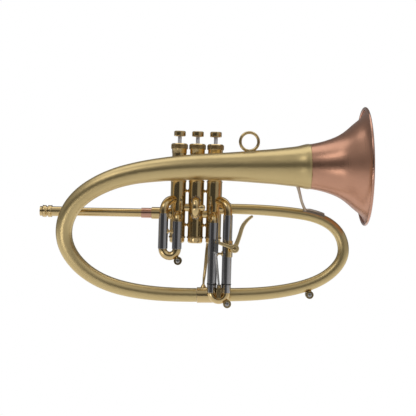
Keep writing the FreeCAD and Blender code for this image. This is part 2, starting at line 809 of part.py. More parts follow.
pair_of_legs("slide1_inner_tubes", *FIRST, [
    ("inner_slide_bore", ("first_slide_foot", -GAP)),
    ("inner_slide_radius", ("first_slide_foot", -GAP)),
    ("inner_slide_radius", -20.5),
    ("inner_slide_bore", -20.5),
])
add_subpart("slide1_crook", half_bend("slide1_crook", first_bend, "crook_tube_radius", BOW_BORE,
                                      in_valves(first_middle, SLIDE_Y, first_crook_z)))

seal_top = ("third_slide_foot", -GAP)
seal_foot = ("third_slide_foot", -GAP - size("ring_seal_height"))
seal_outline = [
    ("inner_slide_radius", seal_foot),
    (6.3, seal_foot),
    (6.6, (seal_foot[0], seal_foot[1] + 0.3)),
    (6.6, (seal_top[0], seal_top[1] - 0.3)),
    (6.3, seal_top),
    ("inner_slide_radius", seal_top),
]
pair_of_legs("slide3_ring_seals", *THIRD, seal_outline)
third_inner = []
for alias in THIRD:
    leg = in_valves(size(alias), SLIDE_Y, 0)
    third_inner.append(sleeve(alias + "_inner", "inner_slide_radius", "inner_slide_bore",
                              "sleeve_foot", -22.0, leg))
    third_inner.append(sleeve(alias + "_sleeve", "outer_slide_radius", "inner_slide_radius", "sleeve_foot",
                              seal_foot, leg))
add_subpart("slide3_inner_tubes", grouped("slide3_inner_tubes", third_inner))
add_subpart("slide3_crook", half_bend("slide3_crook", third_bend, "crook_tube_radius", BOW_BORE,
                                      in_valves(third_middle, SLIDE_Y, size("sleeve_foot"))))


def leg_core(alias, radius, foot, top):
    """The outside of a slide leg, for trimming what is soldered to it."""
    return cylinder(Vector(size(alias), SLIDE_Y, foot), Vector(size(alias), SLIDE_Y, top), radius)


def slide_brace(legs, height):
    """A turned strut between the two legs of a slide, with a flange at each end."""
    left = Vector(size(legs[0]), SLIDE_Y, height)
    right = Vector(size(legs[1]), SLIDE_Y, height)
    cores = [leg_core(alias, size("outer_slide_radius"), height - 10, height + 10) for alias in legs]
    strut = cylinder(left, right, 1.5)
    flange = size("outer_slide_radius") + 0.9
    strut = strut.fuse(cylinder(left, left + X_AXIS * flange, 3.3))
    strut = strut.fuse(cylinder(right, right - X_AXIS * flange, 3.3))
    return trimmed(strut, cores)


add_subpart("slide_braces", feature("slide_struts", in_one([
    slide_brace(FIRST, size("first_brace_z")),
    slide_brace(THIRD, size("third_brace_z")),
]), VALVE_FRAME))

# ----------------------------------------------------------------------------------------------------
# Valve slide 2, drawn towards the player's right hand
# ----------------------------------------------------------------------------------------------------
SECOND = ("second_slide_upper", "second_slide_lower")
SECOND_TUBE = 5.2
UPRIGHT_BEND = Rotation(Z_AXIS, X_AXIS, Y_AXIS)
second_middle = (size(SECOND[0]) + size(SECOND[1])) / 2
second_bend = (size(SECOND[0]) - size(SECOND[1])) / 2
second_casing = feature("second_casing_outside", CASINGS[1], VALVE_FRAME)
second_outer = []
second_inner = []
second_crook = []
for alias in SECOND:
    forward = in_valves(0, 0, size(alias), TO_FRONT)
    seated = document.addObject("Part::Cut", alias + "_leg")
    seated.Base = sleeve(alias + "_tube", "outer_slide_radius", "outer_slide_bore", 7.0, "second_outer_end",
                         forward)
    seated.Tool = second_casing
    second_outer.append(seated)
    second_inner.append(sleeve(alias + "_inner", "inner_slide_radius", "inner_slide_bore", 11.0,
                               "second_crook_start", forward))
    second_crook.append(sleeve(alias + "_ferrule", ("outer_slide_radius", -0.2), "inner_slide_radius",
                               ("second_outer_end", GAP), "second_crook_start", forward))
second_crook.append(half_bend("second_bend", second_bend, SECOND_TUBE, 4.6,
                              in_valves(0, -size("second_crook_start"), second_middle, UPRIGHT_BEND)))
second_knob = document.addObject("Part::Cut", "second_knob")
second_knob.Base = turned("second_pull_knob", [
    (0, 3.0),
    (3.2, 3.0),
    (3.2, 5.8),
    (4.0, 6.4),
    (4.0, 9.4),
    (3.5, 11.0),
    (2.2, 12.0),
    (0, 12.4),
], in_valves(0, -size("second_crook_start") - second_bend, second_middle, Rotation(Y_AXIS, 90)))
second_ring = Part.makeTorus(second_bend, SECOND_TUBE, Vector(0, 0, 0), X_AXIS)
second_knob.Tool = feature("second_ring", second_ring,
                           in_valves(0, -size("second_crook_start"), second_middle))
second_crook.append(second_knob)
add_subpart("slide2_outer_tubes", grouped("slide2_outer_tubes", second_outer))
add_subpart("slide2_inner_tubes", grouped("slide2_inner_tubes", second_inner))
add_subpart("slide2_crook", grouped("slide2_crook", second_crook))

# ----------------------------------------------------------------------------------------------------
# Trigger on slide 3: bracket, finger lever on its screw, return spring, fork link and foot
# ----------------------------------------------------------------------------------------------------
TRIGGER_Y = size("trigger_y")
HUB = Vector(size("hub_x"), TRIGGER_Y, size("hub_z"))
EYE = Vector(size("eye_x"), TRIGGER_Y, size("eye_z"))
FOOT = Vector(size("foot_x"), TRIGGER_Y, size("foot_z"))
PIN = 1.0
# The pin swings sideways by 1.25 mm as the lever turns, so the link's eye sits half of that to the left
# of the pin at rest, and is wide enough for the whole swing.
EYE_SHIFT = -0.62
EYE_CLEARANCE = 0.9
LINK_X = EYE.x + EYE_SHIFT
SCREW = 1.5
# The lever is hollowed behind its hub, where the return spring is coiled round the screw.
SPRING_ROOM = 3.8
# Depths from the trigger's own plane to the inner and outer faces of a fork's cheeks
CHEEK_INSIDE = 1.9
CHEEK_OUTSIDE = 3.3
# Each hole for a pin or screw is drilled this far to both sides of the plane.
DRILL_REACH = 10
LUG_RADIUS = 2.7


def across(x, z, front, back, radius):
    """A cylinder along Y between two depths, measured from the trigger's own plane."""
    return cylinder(Vector(x, TRIGGER_Y + front, z), Vector(x, TRIGGER_Y + back, z), radius)


def slab(centre_x, low_z, high_z, width, front, back):
    """An upright block, its depths measured from the trigger's own plane."""
    corner = Vector(centre_x - width / 2, TRIGGER_Y + front, low_z)
    return Part.makeBox(width, back - front, high_z - low_z, corner)


def strap(points, depth):
    """A flat strap of varying thickness along a smooth line of (x, z, half thickness) points."""
    line = Part.BSplineCurve()
    line.interpolate([Vector(x, TRIGGER_Y - depth / 2, z) for x, z, half in points])
    upper = []
    lower = []
    for x, z, half in points:
        here = Vector(x, TRIGGER_Y - depth / 2, z)
        along = line.tangent(line.parameter(here))[0]
        side = Vector(-along.z, 0, along.x) * half
        upper.append(here + side)
        lower.append(here - side)
    edges = []
    for row_of_points in (upper, list(reversed(lower))):
        curve = Part.BSplineCurve()
        curve.interpolate(row_of_points)
        edges.append(curve.toShape())
    edges.insert(1, Part.LineSegment(upper[-1], lower[-1]).toShape())
    edges.append(Part.LineSegment(lower[0], upper[0]).toShape())
    return Part.Face(Part.Wire(edges)).extrude(Vector(0, depth, 0))


def cheeks(centre_x, low_z, high_z, width):
    """The two sides of a fork, with room between them for what the pin holds."""
    front = slab(centre_x, low_z, high_z, width, -CHEEK_OUTSIDE, -CHEEK_INSIDE)
    return front.fuse(slab(centre_x, low_z, high_z, width, CHEEK_INSIDE, CHEEK_OUTSIDE))


def drilled(shape, centre, radius):
    """A shape with a hole bored right through it along Y."""
    return shape.cut(across(centre.x, centre.z, -DRILL_REACH, DRILL_REACH, radius))


SADDLE_FOOT = -62
SADDLE_TOP = -41
SADDLE_WALL = 1.0
PLATE_FRONT = 3.8
PLATE_BACK = 5.3
HEAD_FRONT = -5.2
HEAD_BACK = -4.3
right_leg = leg_core("third_slide_right", size("outer_slide_radius"), SADDLE_FOOT - 8, SADDLE_TOP + 11)
saddle = leg_core("third_slide_right", size("outer_slide_radius") + SADDLE_WALL, SADDLE_FOOT, SADDLE_TOP)
saddle_corner = Vector(size("third_slide_right") - 1.5, SLIDE_Y - 9, SADDLE_FOOT)
saddle = saddle.common(Part.makeBox(14, 12, SADDLE_TOP - SADDLE_FOOT, saddle_corner))
plate = slab(49.5, -55.0, -46.0, 10.0, PLATE_FRONT, PLATE_BACK)
bracket = saddle.fuse(plate).cut(right_leg)
bracket = bracket.cut(across(HUB.x, HUB.z, 0, DRILL_REACH, SCREW))
screw = across(HUB.x, HUB.z, HEAD_BACK, PLATE_BACK, SCREW)
screw = screw.fuse(across(HUB.x, HUB.z, HEAD_FRONT, HEAD_BACK, LUG_RADIUS))
add_subpart("trigger_bracket", feature("trigger_bracket", bracket, VALVE_FRAME))
add_subpart("trigger_screw", feature("trigger_screw", screw, VALVE_FRAME))

# x, z and half thickness along the short arm, from the hub to its pin
ARM = [
    (HUB.x, HUB.z, 1.7),
    ((HUB.x + EYE.x) / 2, (HUB.z + EYE.z) / 2, 1.6),
    (EYE.x, EYE.z, 1.6),
]
ARM_DEPTH = 3.0
# x, z and half thickness along the finger paddle, from the hub up to its curled tip
PADDLE = [
    (52.2, -48.0, 2.4),
    (55.5, -39.4, 2.1),
    (58.2, -30.5, 2.0),
    (60.6, -22.6, 1.9),
    (65.4, -15.0, 1.6),
    (73.0, -8.5, 1.1),
]
PADDLE_DEPTH = 6.0
HUB_FRONT = -4.0
HUB_BACK = 0.8
SCREW_CLEARANCE = 0.05
lever = across(HUB.x, HUB.z, HUB_FRONT, HUB_BACK, size("hub_radius"))
lever = lever.fuse(strap(ARM, ARM_DEPTH))
lever = lever.fuse(across(EYE.x, EYE.z, -ARM_DEPTH / 2, ARM_DEPTH / 2, LUG_RADIUS))
lever = lever.fuse(strap(PADDLE, PADDLE_DEPTH))
lever = lever.cut(across(HUB.x, HUB.z, HUB_BACK, 4.0, SPRING_ROOM))
lever = drilled(drilled(lever, HUB, SCREW + SCREW_CLEARANCE), EYE, PIN)
add_subpart("trigger_lever", feature("trigger_lever", lever, VALVE_FRAME))
PIN_BACK = 3.6
add_subpart("trigger_pin", feature("trigger_pin", across(EYE.x, EYE.z, -4.0, PIN_BACK, PIN), VALVE_FRAME))

FORK_WIDTH = 5.6
FORK_LOW = -55
FORK_TOP = -39.5
ROD_RADIUS = 1.4
fork = cheeks(LINK_X, FORK_LOW, FORK_TOP, FORK_WIDTH)
fork = fork.fuse(slab(LINK_X, FORK_LOW - 2.5, FORK_LOW + 0.5, FORK_WIDTH, -CHEEK_OUTSIDE, CHEEK_OUTSIDE))
fork = fork.fuse(cylinder(Vector(LINK_X, TRIGGER_Y, FORK_LOW - 1.0), FOOT, ROD_RADIUS))
fork = fork.fuse(across(FOOT.x, FOOT.z, -ARM_DEPTH / 2, ARM_DEPTH / 2, 2.6))
fork = drilled(drilled(fork, Vector(LINK_X, 0, EYE.z), PIN + EYE_CLEARANCE), FOOT, PIN)
add_subpart("trigger_link", feature("trigger_link", fork, VALVE_FRAME))

FOOT_WIDTH = 5.4
FOOT_LOW = -108
FOOT_TOP = -97.3
FOOT_BASE = -115
# The foot reaches back between the two legs and is soldered to both.
REACH_BACK = 6.7
foot = cheeks(FOOT.x, FOOT_LOW, FOOT_TOP, FOOT_WIDTH)
foot = foot.fuse(slab(FOOT.x, FOOT_BASE, -104.5, FOOT_WIDTH, -CHEEK_OUTSIDE, CHEEK_OUTSIDE))
foot = foot.fuse(slab(FOOT.x, FOOT_LOW, -102.0, 6.6, CHEEK_OUTSIDE, CHEEK_OUTSIDE + REACH_BACK))
for alias in THIRD:
    foot = foot.cut(leg_core(alias, size("outer_slide_radius"), FOOT_BASE, FOOT_TOP + 2.3))
foot = drilled(foot, FOOT, PIN)
foot_pin = across(FOOT.x, FOOT.z, -3.9, PIN_BACK, PIN)
add_subpart("link_foot", feature("link_foot", in_one([foot, foot_pin]), VALVE_FRAME))

# The return spring: two turns round the screw, one end hooked on the lever and one on the bracket
RETURN_WIRE = 0.35
COIL_RADIUS = 3.0
COIL_PITCH = 1.0
COIL_LENGTH = 2.0
COIL_BACK = 3.3
coil = Part.makeHelix(COIL_PITCH, COIL_LENGTH, COIL_RADIUS)
coil_slope = Vector(0, 2 * math.pi * COIL_RADIUS, COIL_PITCH)
coil_section = Part.Wire(Part.makeCircle(RETURN_WIRE, Vector(COIL_RADIUS, 0, 0), coil_slope))
coil_shape = Part.Wire(coil.Edges).makePipeShell([coil_section], True, True)
coil_shape.Placement = Placement(HUB + Vector(0, COIL_BACK, 0), TO_FRONT)
upper_end = Vector(44.6, TRIGGER_Y + 2.2, -43.0)
lower_end = Vector(47.6, TRIGGER_Y + COIL_BACK, -60.0)
hook_up = cylinder(HUB + Vector(-2.6, 2.1, 1.5), upper_end, RETURN_WIRE)
hook_down = cylinder(HUB + Vector(-COIL_RADIUS, COIL_BACK, 0), lower_end, RETURN_WIRE)
return_spring = coil_shape.fuse(hook_up).fuse(hook_down)
add_subpart("trigger_spring", feature("trigger_spring", return_spring, VALVE_FRAME))

# ----------------------------------------------------------------------------------------------------
# Water keys: a barrel soldered below each low bend, with a spring plunger pressed from the front
# ----------------------------------------------------------------------------------------------------
KEY_LENGTH = size("key_length")
PLUNGER_ROOM = 0.08
NECK_RADIUS = 3.2


def key_barrel(place, tube_core, tube_centre):
    """The barrel and its short neck, seated on the tube it drains."""
    half = Vector(0, KEY_LENGTH / 2, 0)
    barrel = cylinder(place - half, place + half, size("key_barrel_radius"))
    neck = cylinder(place, tube_centre, NECK_RADIUS)
    bore = cylinder(place - half * 2, place + half * 2, size("key_plunger_radius") + PLUNGER_ROOM)
    return barrel.fuse(neck).cut(tube_core).cut(bore)


def key_plunger(name, placement):
    """The spring plunger: a rounded button in front, a waist inside and a guide at the back."""
    front = KEY_LENGTH / 2 + size("key_stroke")
    return turned(name, [
        (0, -KEY_LENGTH / 2 + size("key_stroke")),
        ("key_plunger_radius", -KEY_LENGTH / 2 + size("key_stroke")),
        ("key_plunger_radius", -1.5),
        (("key_plunger_radius", -0.9), -1.0),
        (("key_plunger_radius", -0.9), 1.0),
        ("key_plunger_radius", 1.5),
        ("key_plunger_radius", front - 0.6),
        (("key_plunger_radius", -0.7), front),
        (0, front + 0.15),
    ], placement)


def crook_core(middle_x, bend, top_z):
    """The outside of a slide's bottom bend."""
    ring = Part.makeTorus(bend, size("crook_tube_radius"), Vector(middle_x, SLIDE_Y, top_z), Y_AXIS)
    keep = Part.makeBox(80, 40, 40, Vector(middle_x - 40, SLIDE_Y - 20, top_z - 40))
    return ring.common(keep)


FIRST_KEY = Vector(-21.0, SLIDE_Y, -68.7)
THIRD_KEY = Vector(43.9, SLIDE_Y, -122.3)
BRANCH_KEY = Vector(352.0, -1.5, -109.5)
BRANCH_LOW = Vector(351.0, -1.5, -97.0)
bend_share = math.sqrt(0.5)
first_low = Vector(first_middle + first_bend * bend_share, SLIDE_Y, first_crook_z - first_bend * bend_share)
third_low = Vector(third_middle + third_bend * bend_share, SLIDE_Y,
                   size("sleeve_foot") - third_bend * bend_share)
add_subpart("slide1_key_barrel", feature("slide1_key_barrel", key_barrel(
    FIRST_KEY, crook_core(first_middle, first_bend, first_crook_z), first_low),
    VALVE_FRAME))
add_subpart("slide3_key_barrel", feature("slide3_key_barrel", key_barrel(
    THIRD_KEY, crook_core(third_middle, third_bend, size("sleeve_foot")), third_low),
    VALVE_FRAME))
add_subpart("branch_key_barrel", feature("branch_key_barrel", key_barrel(
    BRANCH_KEY, branch_core, BRANCH_LOW)))
add_subpart("slide1_key_plunger", key_plunger("slide1_key_plunger", in_valves(*FIRST_KEY, TO_FRONT)))
add_subpart("slide3_key_plunger", key_plunger("slide3_key_plunger", in_valves(*THIRD_KEY, TO_FRONT)))
add_subpart("branch_key_plunger", key_plunger("branch_key_plunger", Placement(BRANCH_KEY, TO_FRONT)))

# ----------------------------------------------------------------------------------------------------
# What holds the bell: posts to the valves, the brace to the branch, the grip bar and the finger ring
# ----------------------------------------------------------------------------------------------------
row_casings = []
for core in CASINGS:
    moved = core.copy()
    moved.Placement = VALVE_FRAME.multiply(core.Placement)
    row_casings.append(moved)
POST_HEIGHT = 52.0
POST_RADIUS = 5.0
POST_BACK = -8.0
POST_FRONT = -16.0
posts = []
for valve in (1, 3):
    foot_point = in_valves(valve_position(valve), 0, POST_HEIGHT).Base
    back = Vector(foot_point.x, POST_BACK, foot_point.z)
    neck_foot = Vector(valve_position(valve), 0, 36.5)
    neck_core = Part.makeCylinder(size("casing_neck_radius"), 34.0, neck_foot, Z_AXIS)
    neck_core.Placement = VALVE_FRAME.multiply(neck_core.Placement)
    post = cylinder(Vector(back.x, POST_FRONT, back.z), back, POST_RADIUS)
    posts.append(trimmed(post, [bell_stem_core, neck_core]))
add_subpart("bell_posts", feature("bell_posts", in_one(posts)))

ring_x = size("finger_ring_x")
ring_centre = Vector(ring_x, BELL_Y, size("finger_ring_z"))
ring_middle = size("finger_ring_radius") - size("finger_ring_wire")
finger_ring = Part.makeTorus(ring_middle, size("finger_ring_wire"), ring_centre, Y_AXIS)
foot_low = BELL_Z + 15.0
ring_foot = Part.makeCone(4.6, 2.2, size("finger_ring_z") - ring_middle - foot_low,
                          Vector(ring_x, BELL_Y, foot_low), Z_AXIS)
finger_ring = finger_ring.fuse(ring_foot).cut(bell_stem_core)
add_subpart("finger_ring", feature("finger_ring", finger_ring))

# x, y, z, radius along the brace between the bell and the branch
BELL_BRACE = [
    (334.0, -28.0, 34.0, 2.4),
    (337.0, -24.0, 25.0, 1.9),
    (340.0, -17.0, 15.0, 1.8),
    (343.5, -9.5, 6.5, 1.8),
    (348.5, -3.5, -1.5, 1.9),
]
# The brace ends in a strap that lies along the top of the branch, its front edge standing clear.
STRAP_THICKNESS = 2.1
STRAP_BOX = Part.makeBox(28.0, 5.6, 17.0, Vector(343.6, -6.6, -14.0))
thick_branch = tapered_rod([(x, y, z, radius + STRAP_THICKNESS) for x, y, z, radius in BRANCH])
strap_pieces = thick_branch.common(STRAP_BOX).cut(branch_core).Solids
brace_foot = max(strap_pieces, key=lambda piece: piece.CenterOfMass.z)
bell_brace = trimmed(tapered_rod(BELL_BRACE), [bell_stem_core, branch_core])
add_subpart("bell_brace", feature("bell_brace", bell_brace.fuse(brace_foot)))

# x, y, z, radius along the curved grip bar, from the low ferrule up behind valve 3
GRIP_BAR = [
    (213.4, LOW_Y, LOW_Z + 8.0, 2.6),
    (213.6, -1.0, -96.0, 1.6),
    (215.2, 4.0, -82.0, 2.0),
    (217.0, 9.5, -66.0, 2.3),
    (218.6, 12.4, -50.0, 2.4),
    (221.0, 13.2, -36.0, 2.3),
    (224.5, 10.6, -24.0, 2.2),
    (226.5, 5.0, -19.0, 2.2),
]
ferrule_core = cylinder(Vector(200, LOW_Y, LOW_Z), Vector(230, LOW_Y, LOW_Z), size("ferrule_radius"))
grip_foot = Part.makeCone(4.5, 2.2, 5.0, Vector(213.5, LOW_Y, LOW_Z + 8.5), Z_AXIS)
grip_bar = trimmed(tapered_rod(GRIP_BAR).fuse(grip_foot), [ferrule_core, third_casing_core])
add_subpart("grip_bar", feature("grip_bar", grip_bar))

# ----------------------------------------------------------------------------------------------------
# Checks, and one file for each sub-part
# ----------------------------------------------------------------------------------------------------
document.recompute()
failed = []
for item in document.Objects:
    if "Invalid" in item.State or "Error" in item.State:
        failed.append(item.Name)
for node, item in SUBPARTS.items():
    if item.Shape.isNull() or not item.Shape.isValid() or item.Shape.Volume <= 0:
        failed.append(node)
if failed:
    raise RuntimeError("failed: " + ", ".join(failed))

os.makedirs("parts", exist_ok=True)
for node, item in SUBPARTS.items():
    item.Shape.exportStep(f"parts/{node}.step")
print(len(SUBPARTS), "sub-parts written")
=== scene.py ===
# %% [markdown]
# # A flugelhorn, finished
#
# A flugelhorn is one long cone of brass wound into an oval, with three piston valves in the middle of it.
# The CAD frame already holds every part at its real size.  This lesson gives the parts their looks:
# satin brass on the wide tubes, a brushed copper flare, polished brass on the small parts and dark nickel
# silver on the slides.
#
# The order is: load the frame, make the shared effects, mix the metals, skin the big tubes, finish the
# small parts, add the turned detail, and last set up the studio.

import json
import math

import bmesh
import bpy
import numpy as np
from mathutils import Matrix, Vector
from mathutils.bvhtree import BVHTree


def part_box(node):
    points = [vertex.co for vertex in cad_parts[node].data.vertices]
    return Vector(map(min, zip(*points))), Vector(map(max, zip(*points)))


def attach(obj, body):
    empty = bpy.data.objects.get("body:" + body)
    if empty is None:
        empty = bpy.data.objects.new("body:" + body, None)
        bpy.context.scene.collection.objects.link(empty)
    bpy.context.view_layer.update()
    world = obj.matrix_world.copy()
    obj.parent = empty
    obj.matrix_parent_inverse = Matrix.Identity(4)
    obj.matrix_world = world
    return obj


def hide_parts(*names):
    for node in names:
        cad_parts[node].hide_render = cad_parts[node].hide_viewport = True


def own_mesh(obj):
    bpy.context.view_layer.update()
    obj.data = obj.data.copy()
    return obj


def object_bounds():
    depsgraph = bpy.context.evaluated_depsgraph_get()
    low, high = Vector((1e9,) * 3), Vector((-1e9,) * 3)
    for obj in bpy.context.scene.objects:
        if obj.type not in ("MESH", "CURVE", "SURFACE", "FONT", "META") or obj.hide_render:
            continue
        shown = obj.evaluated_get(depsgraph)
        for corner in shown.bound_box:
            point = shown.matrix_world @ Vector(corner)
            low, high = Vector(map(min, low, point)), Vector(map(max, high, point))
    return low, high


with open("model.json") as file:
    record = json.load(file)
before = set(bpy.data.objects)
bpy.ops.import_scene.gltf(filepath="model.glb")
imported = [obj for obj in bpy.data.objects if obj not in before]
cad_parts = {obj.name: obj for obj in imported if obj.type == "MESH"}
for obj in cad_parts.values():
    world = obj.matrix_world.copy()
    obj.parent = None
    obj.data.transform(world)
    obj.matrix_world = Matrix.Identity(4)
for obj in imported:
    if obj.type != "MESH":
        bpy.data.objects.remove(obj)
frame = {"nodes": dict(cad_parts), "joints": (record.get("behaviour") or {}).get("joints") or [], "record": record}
CAD_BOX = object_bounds()
BODIES = frame["record"]["behaviour"]["bodies"]
BODY_OF = {member: body for body, members in BODIES.items() for member in members}
SLOT_OF = {row["node"]: row["material_slot"] for row in frame["record"]["subparts"]}

# %% [markdown]
# ## Directions that the horn gives us
#
# Two joints in the frame tell where things point.  The valves slide along their own leaning axis, and the
# mouthpipe slides along its tilt.  Reading them from the frame keeps every added detail square to the
# part it sits on, without typing an angle twice.

# %% Axes read from the joints
JOINTS = {joint["name"]: joint for joint in frame["joints"]}
MM = 0.001
VALVE_UP = -Vector(JOINTS["valve_2_press"]["axis"]).normalized()
PIPE_ALONG = -Vector(JOINTS["mouthpipe_draw"]["axis"]).normalized()
FRONT = Vector((0, -1, 0))


def middle(node_name):
    """The middle of a CAD node's box."""
    low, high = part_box(node_name)
    return (low + high) / 2


def points_of(node_name):
    """A CAD node's points as an array."""
    mesh = frame["nodes"][node_name].data
    flat = np.empty(len(mesh.vertices) * 3, np.float32)
    mesh.vertices.foreach_get("co", flat)
    return flat.reshape(-1, 3).astype(float)


def span_along(node_name, axis, origin):
    """Lowest and highest reach of a node along an axis through a point."""
    reach = (points_of(node_name) - np.array(origin)) @ np.array(axis)
    return float(reach.min()), float(reach.max())


print("valves lean", round(math.degrees(math.atan2(VALVE_UP.x, VALVE_UP.z)), 2), "degrees")

# %% [markdown]
# ## Node helpers
#
# Shader trees are easier to read when each node takes one line.  `node` adds one and sets what it is
# given, and `wire` joins two sockets.

# %% Node helpers
def node(tree, kind, **values):
    """Add a node; names that match an input set its value, the rest set properties."""
    made = tree.nodes.new(kind)
    for key, value in values.items():
        label = key.replace("_", " ")
        if hasattr(made, key):
            setattr(made, key, value)
        else:
            made.inputs[label].default_value = value
    return made


def wire(tree, source, target):
    tree.links.new(source, target)


def group_tree(name, inputs, outputs):
    """An empty shader group with named sockets: {name: (type, default)} in, {name: type} out."""
    tree = bpy.data.node_groups.new(name, "ShaderNodeTree")
    for label, (kind, default) in inputs.items():
        socket = tree.interface.new_socket(label, in_out="INPUT", socket_type=kind)
        if default is not None:
            socket.default_value = default
    for label, kind in outputs.items():
        tree.interface.new_socket(label, in_out="OUTPUT", socket_type=kind)
    return tree, tree.nodes.new("NodeGroupInput"), tree.nodes.new("NodeGroupOutput")


def place_group(tree, group, **values):
    made = tree.nodes.new("ShaderNodeGroup")
    made.node_tree = group
    for key, value in values.items():
        made.inputs[key.replace("_", " ")].default_value = value
    return made


def maths(tree, operation, *terms, **values):
    """A Math node; a term that is a socket is wired, a plain number is set."""
    made = node(tree, "ShaderNodeMath", operation=operation, **values)
    for socket, term in zip(made.inputs, terms):
        if isinstance(term, (int, float)):
            socket.default_value = term
        else:
            wire(tree, term, socket)
    return made.outputs[0]


def colour_mix(tree, amount, first, second):
    made = node(tree, "ShaderNodeMix", data_type="RGBA")
    for socket, source in ((0, amount), (6, first), (7, second)):
        wire(tree, source, made.inputs[socket])
    return made.outputs[2]


def smooth_range(tree, source, start, end, low, high):
    """A source's values from `start` to `end`, eased into `low` to `high`."""
    made = node(tree, "ShaderNodeMapRange", interpolation_type="SMOOTHSTEP", From_Min=start, From_Max=end,
                To_Min=low, To_Max=high)
    wire(tree, source, made.inputs["Value"])
    return made.outputs["Result"]


def painted_result(tree, given, result, geometry):
    """End a geometry tree: make its instances real and give them the finish."""
    real = node(tree, "GeometryNodeRealizeInstances")
    wire(tree, geometry, real.inputs["Geometry"])
    painted = node(tree, "GeometryNodeSetMaterial")
    wire(tree, real.outputs["Geometry"], painted.inputs["Geometry"])
    wire(tree, given.outputs["Finish"], painted.inputs["Material"])
    wire(tree, painted.outputs["Geometry"], result.inputs["Geometry"])


def scene_object(name, mesh):
    """A new object in the scene that shows this mesh."""
    made = bpy.data.objects.new(name, mesh)
    bpy.context.scene.collection.objects.link(made)
    return made


def with_modifiers(piece, **options):
    """The plain mesh that a piece's modifiers make of it."""
    bpy.context.view_layer.update()
    graph = bpy.context.evaluated_depsgraph_get()
    return bpy.data.meshes.new_from_object(piece.evaluated_get(graph), depsgraph=graph, **options)


print("helpers ready")

# %% [markdown]
# ## Shared effect: brushing
#
# Satin metal is covered in fine parallel scratches.  They are far too small to model, so they are a noise
# pattern squeezed hard in one direction.  The group takes the point where the metal is looked at, with
# the scratches running along the point's Y, and gives back a roughness and a height for a Bump node.

# %% Brushing group
FLOAT = "NodeSocketFloat"
COLOUR = "NodeSocketColor"
VECTOR = "NodeSocketVector"


def make_brushing():
    tree, given, result = group_tree("brushing", {
        "Place": (VECTOR, None),
        "Lines": (FLOAT, 900.0),
        "Run": (FLOAT, 12.0),
        "Roughness": (FLOAT, 0.3),
        "Spread": (FLOAT, 0.1),
    }, {"Roughness": FLOAT, "Height": FLOAT})
    scale = node(tree, "ShaderNodeCombineXYZ")
    wire(tree, given.outputs["Lines"], scale.inputs["X"])
    wire(tree, given.outputs["Run"], scale.inputs["Y"])
    wire(tree, given.outputs["Lines"], scale.inputs["Z"])
    stretched = node(tree, "ShaderNodeVectorMath", operation="MULTIPLY")
    wire(tree, given.outputs["Place"], stretched.inputs[0])
    wire(tree, scale.outputs[0], stretched.inputs[1])
    fine = node(tree, "ShaderNodeTexNoise", Scale=1.0, Detail=5.0, Roughness=0.62)
    wire(tree, stretched.outputs[0], fine.inputs["Vector"])
    centred = maths(tree, "SUBTRACT", fine.outputs["Fac"], 0.5)
    swing = maths(tree, "MULTIPLY_ADD", centred, given.outputs["Spread"], given.outputs["Roughness"])
    wire(tree, swing, result.inputs["Roughness"])
    wire(tree, fine.outputs["Fac"], result.inputs["Height"])
    return tree


BRUSHING = make_brushing()
print("group", BRUSHING.name, len(BRUSHING.nodes), "nodes")

# %% [markdown]
# ## Shared effect: age
#
# Lacquered brass is never one colour.  Breath, fingers and years leave slow cloudy changes of tone, and a
# few small dark freckles where the lacquer has pinholes.  The group mixes a metal's own colour towards
# its tarnish with a large soft noise and adds the freckles from a cell pattern, and raises the roughness
# a little in the clouds, as a smear of grease does.

# %% Age group
def make_age():
    tree, given, result = group_tree("age", {
        "Place": (VECTOR, None),
        "Metal": (COLOUR, (0.8, 0.6, 0.3, 1)),
        "Tarnish": (COLOUR, (0.3, 0.2, 0.08, 1)),
        "Cloud Size": (FLOAT, 22.0),
        "Clouds": (FLOAT, 0.2),
        "Freckles": (FLOAT, 0.2),
        "Smear": (FLOAT, 0.06),
    }, {"Colour": COLOUR, "Smear": FLOAT})
    clouds = node(tree, "ShaderNodeTexNoise", Detail=4.0, Roughness=0.55)
    wire(tree, given.outputs["Place"], clouds.inputs["Vector"])
    wire(tree, given.outputs["Cloud Size"], clouds.inputs["Scale"])
    shaped = node(tree, "ShaderNodeMapRange", From_Min=0.42, From_Max=0.72)
    wire(tree, clouds.outputs["Fac"], shaped.inputs["Value"])
    cloud_amount = maths(tree, "MULTIPLY", shaped.outputs["Result"], given.outputs["Clouds"])
    cells = node(tree, "ShaderNodeTexVoronoi", Scale=330.0, Randomness=1.0)
    wire(tree, given.outputs["Place"], cells.inputs["Vector"])
    dots = node(tree, "ShaderNodeMapRange", From_Min=0.16, From_Max=0.04)
    wire(tree, cells.outputs["Distance"], dots.inputs["Value"])
    where = node(tree, "ShaderNodeTexNoise", Scale=60.0, Detail=2.0)
    wire(tree, given.outputs["Place"], where.inputs["Vector"])
    sparse = node(tree, "ShaderNodeMapRange", From_Min=0.56, From_Max=0.66)
    wire(tree, where.outputs["Fac"], sparse.inputs["Value"])
    freckle = maths(tree, "MULTIPLY", dots.outputs["Result"], sparse.outputs["Result"])
    freckle_amount = maths(tree, "MULTIPLY", freckle, given.outputs["Freckles"])
    total = maths(tree, "ADD", cloud_amount, freckle_amount, use_clamp=True)
    mixed = colour_mix(tree, total, given.outputs["Metal"], given.outputs["Tarnish"])
    wire(tree, mixed, result.inputs["Colour"])
    smear = maths(tree, "MULTIPLY", shaped.outputs["Result"], given.outputs["Smear"])
    wire(tree, smear, result.inputs["Smear"])
    return tree


AGE = make_age()
print("group", AGE.name, len(AGE.nodes), "nodes")
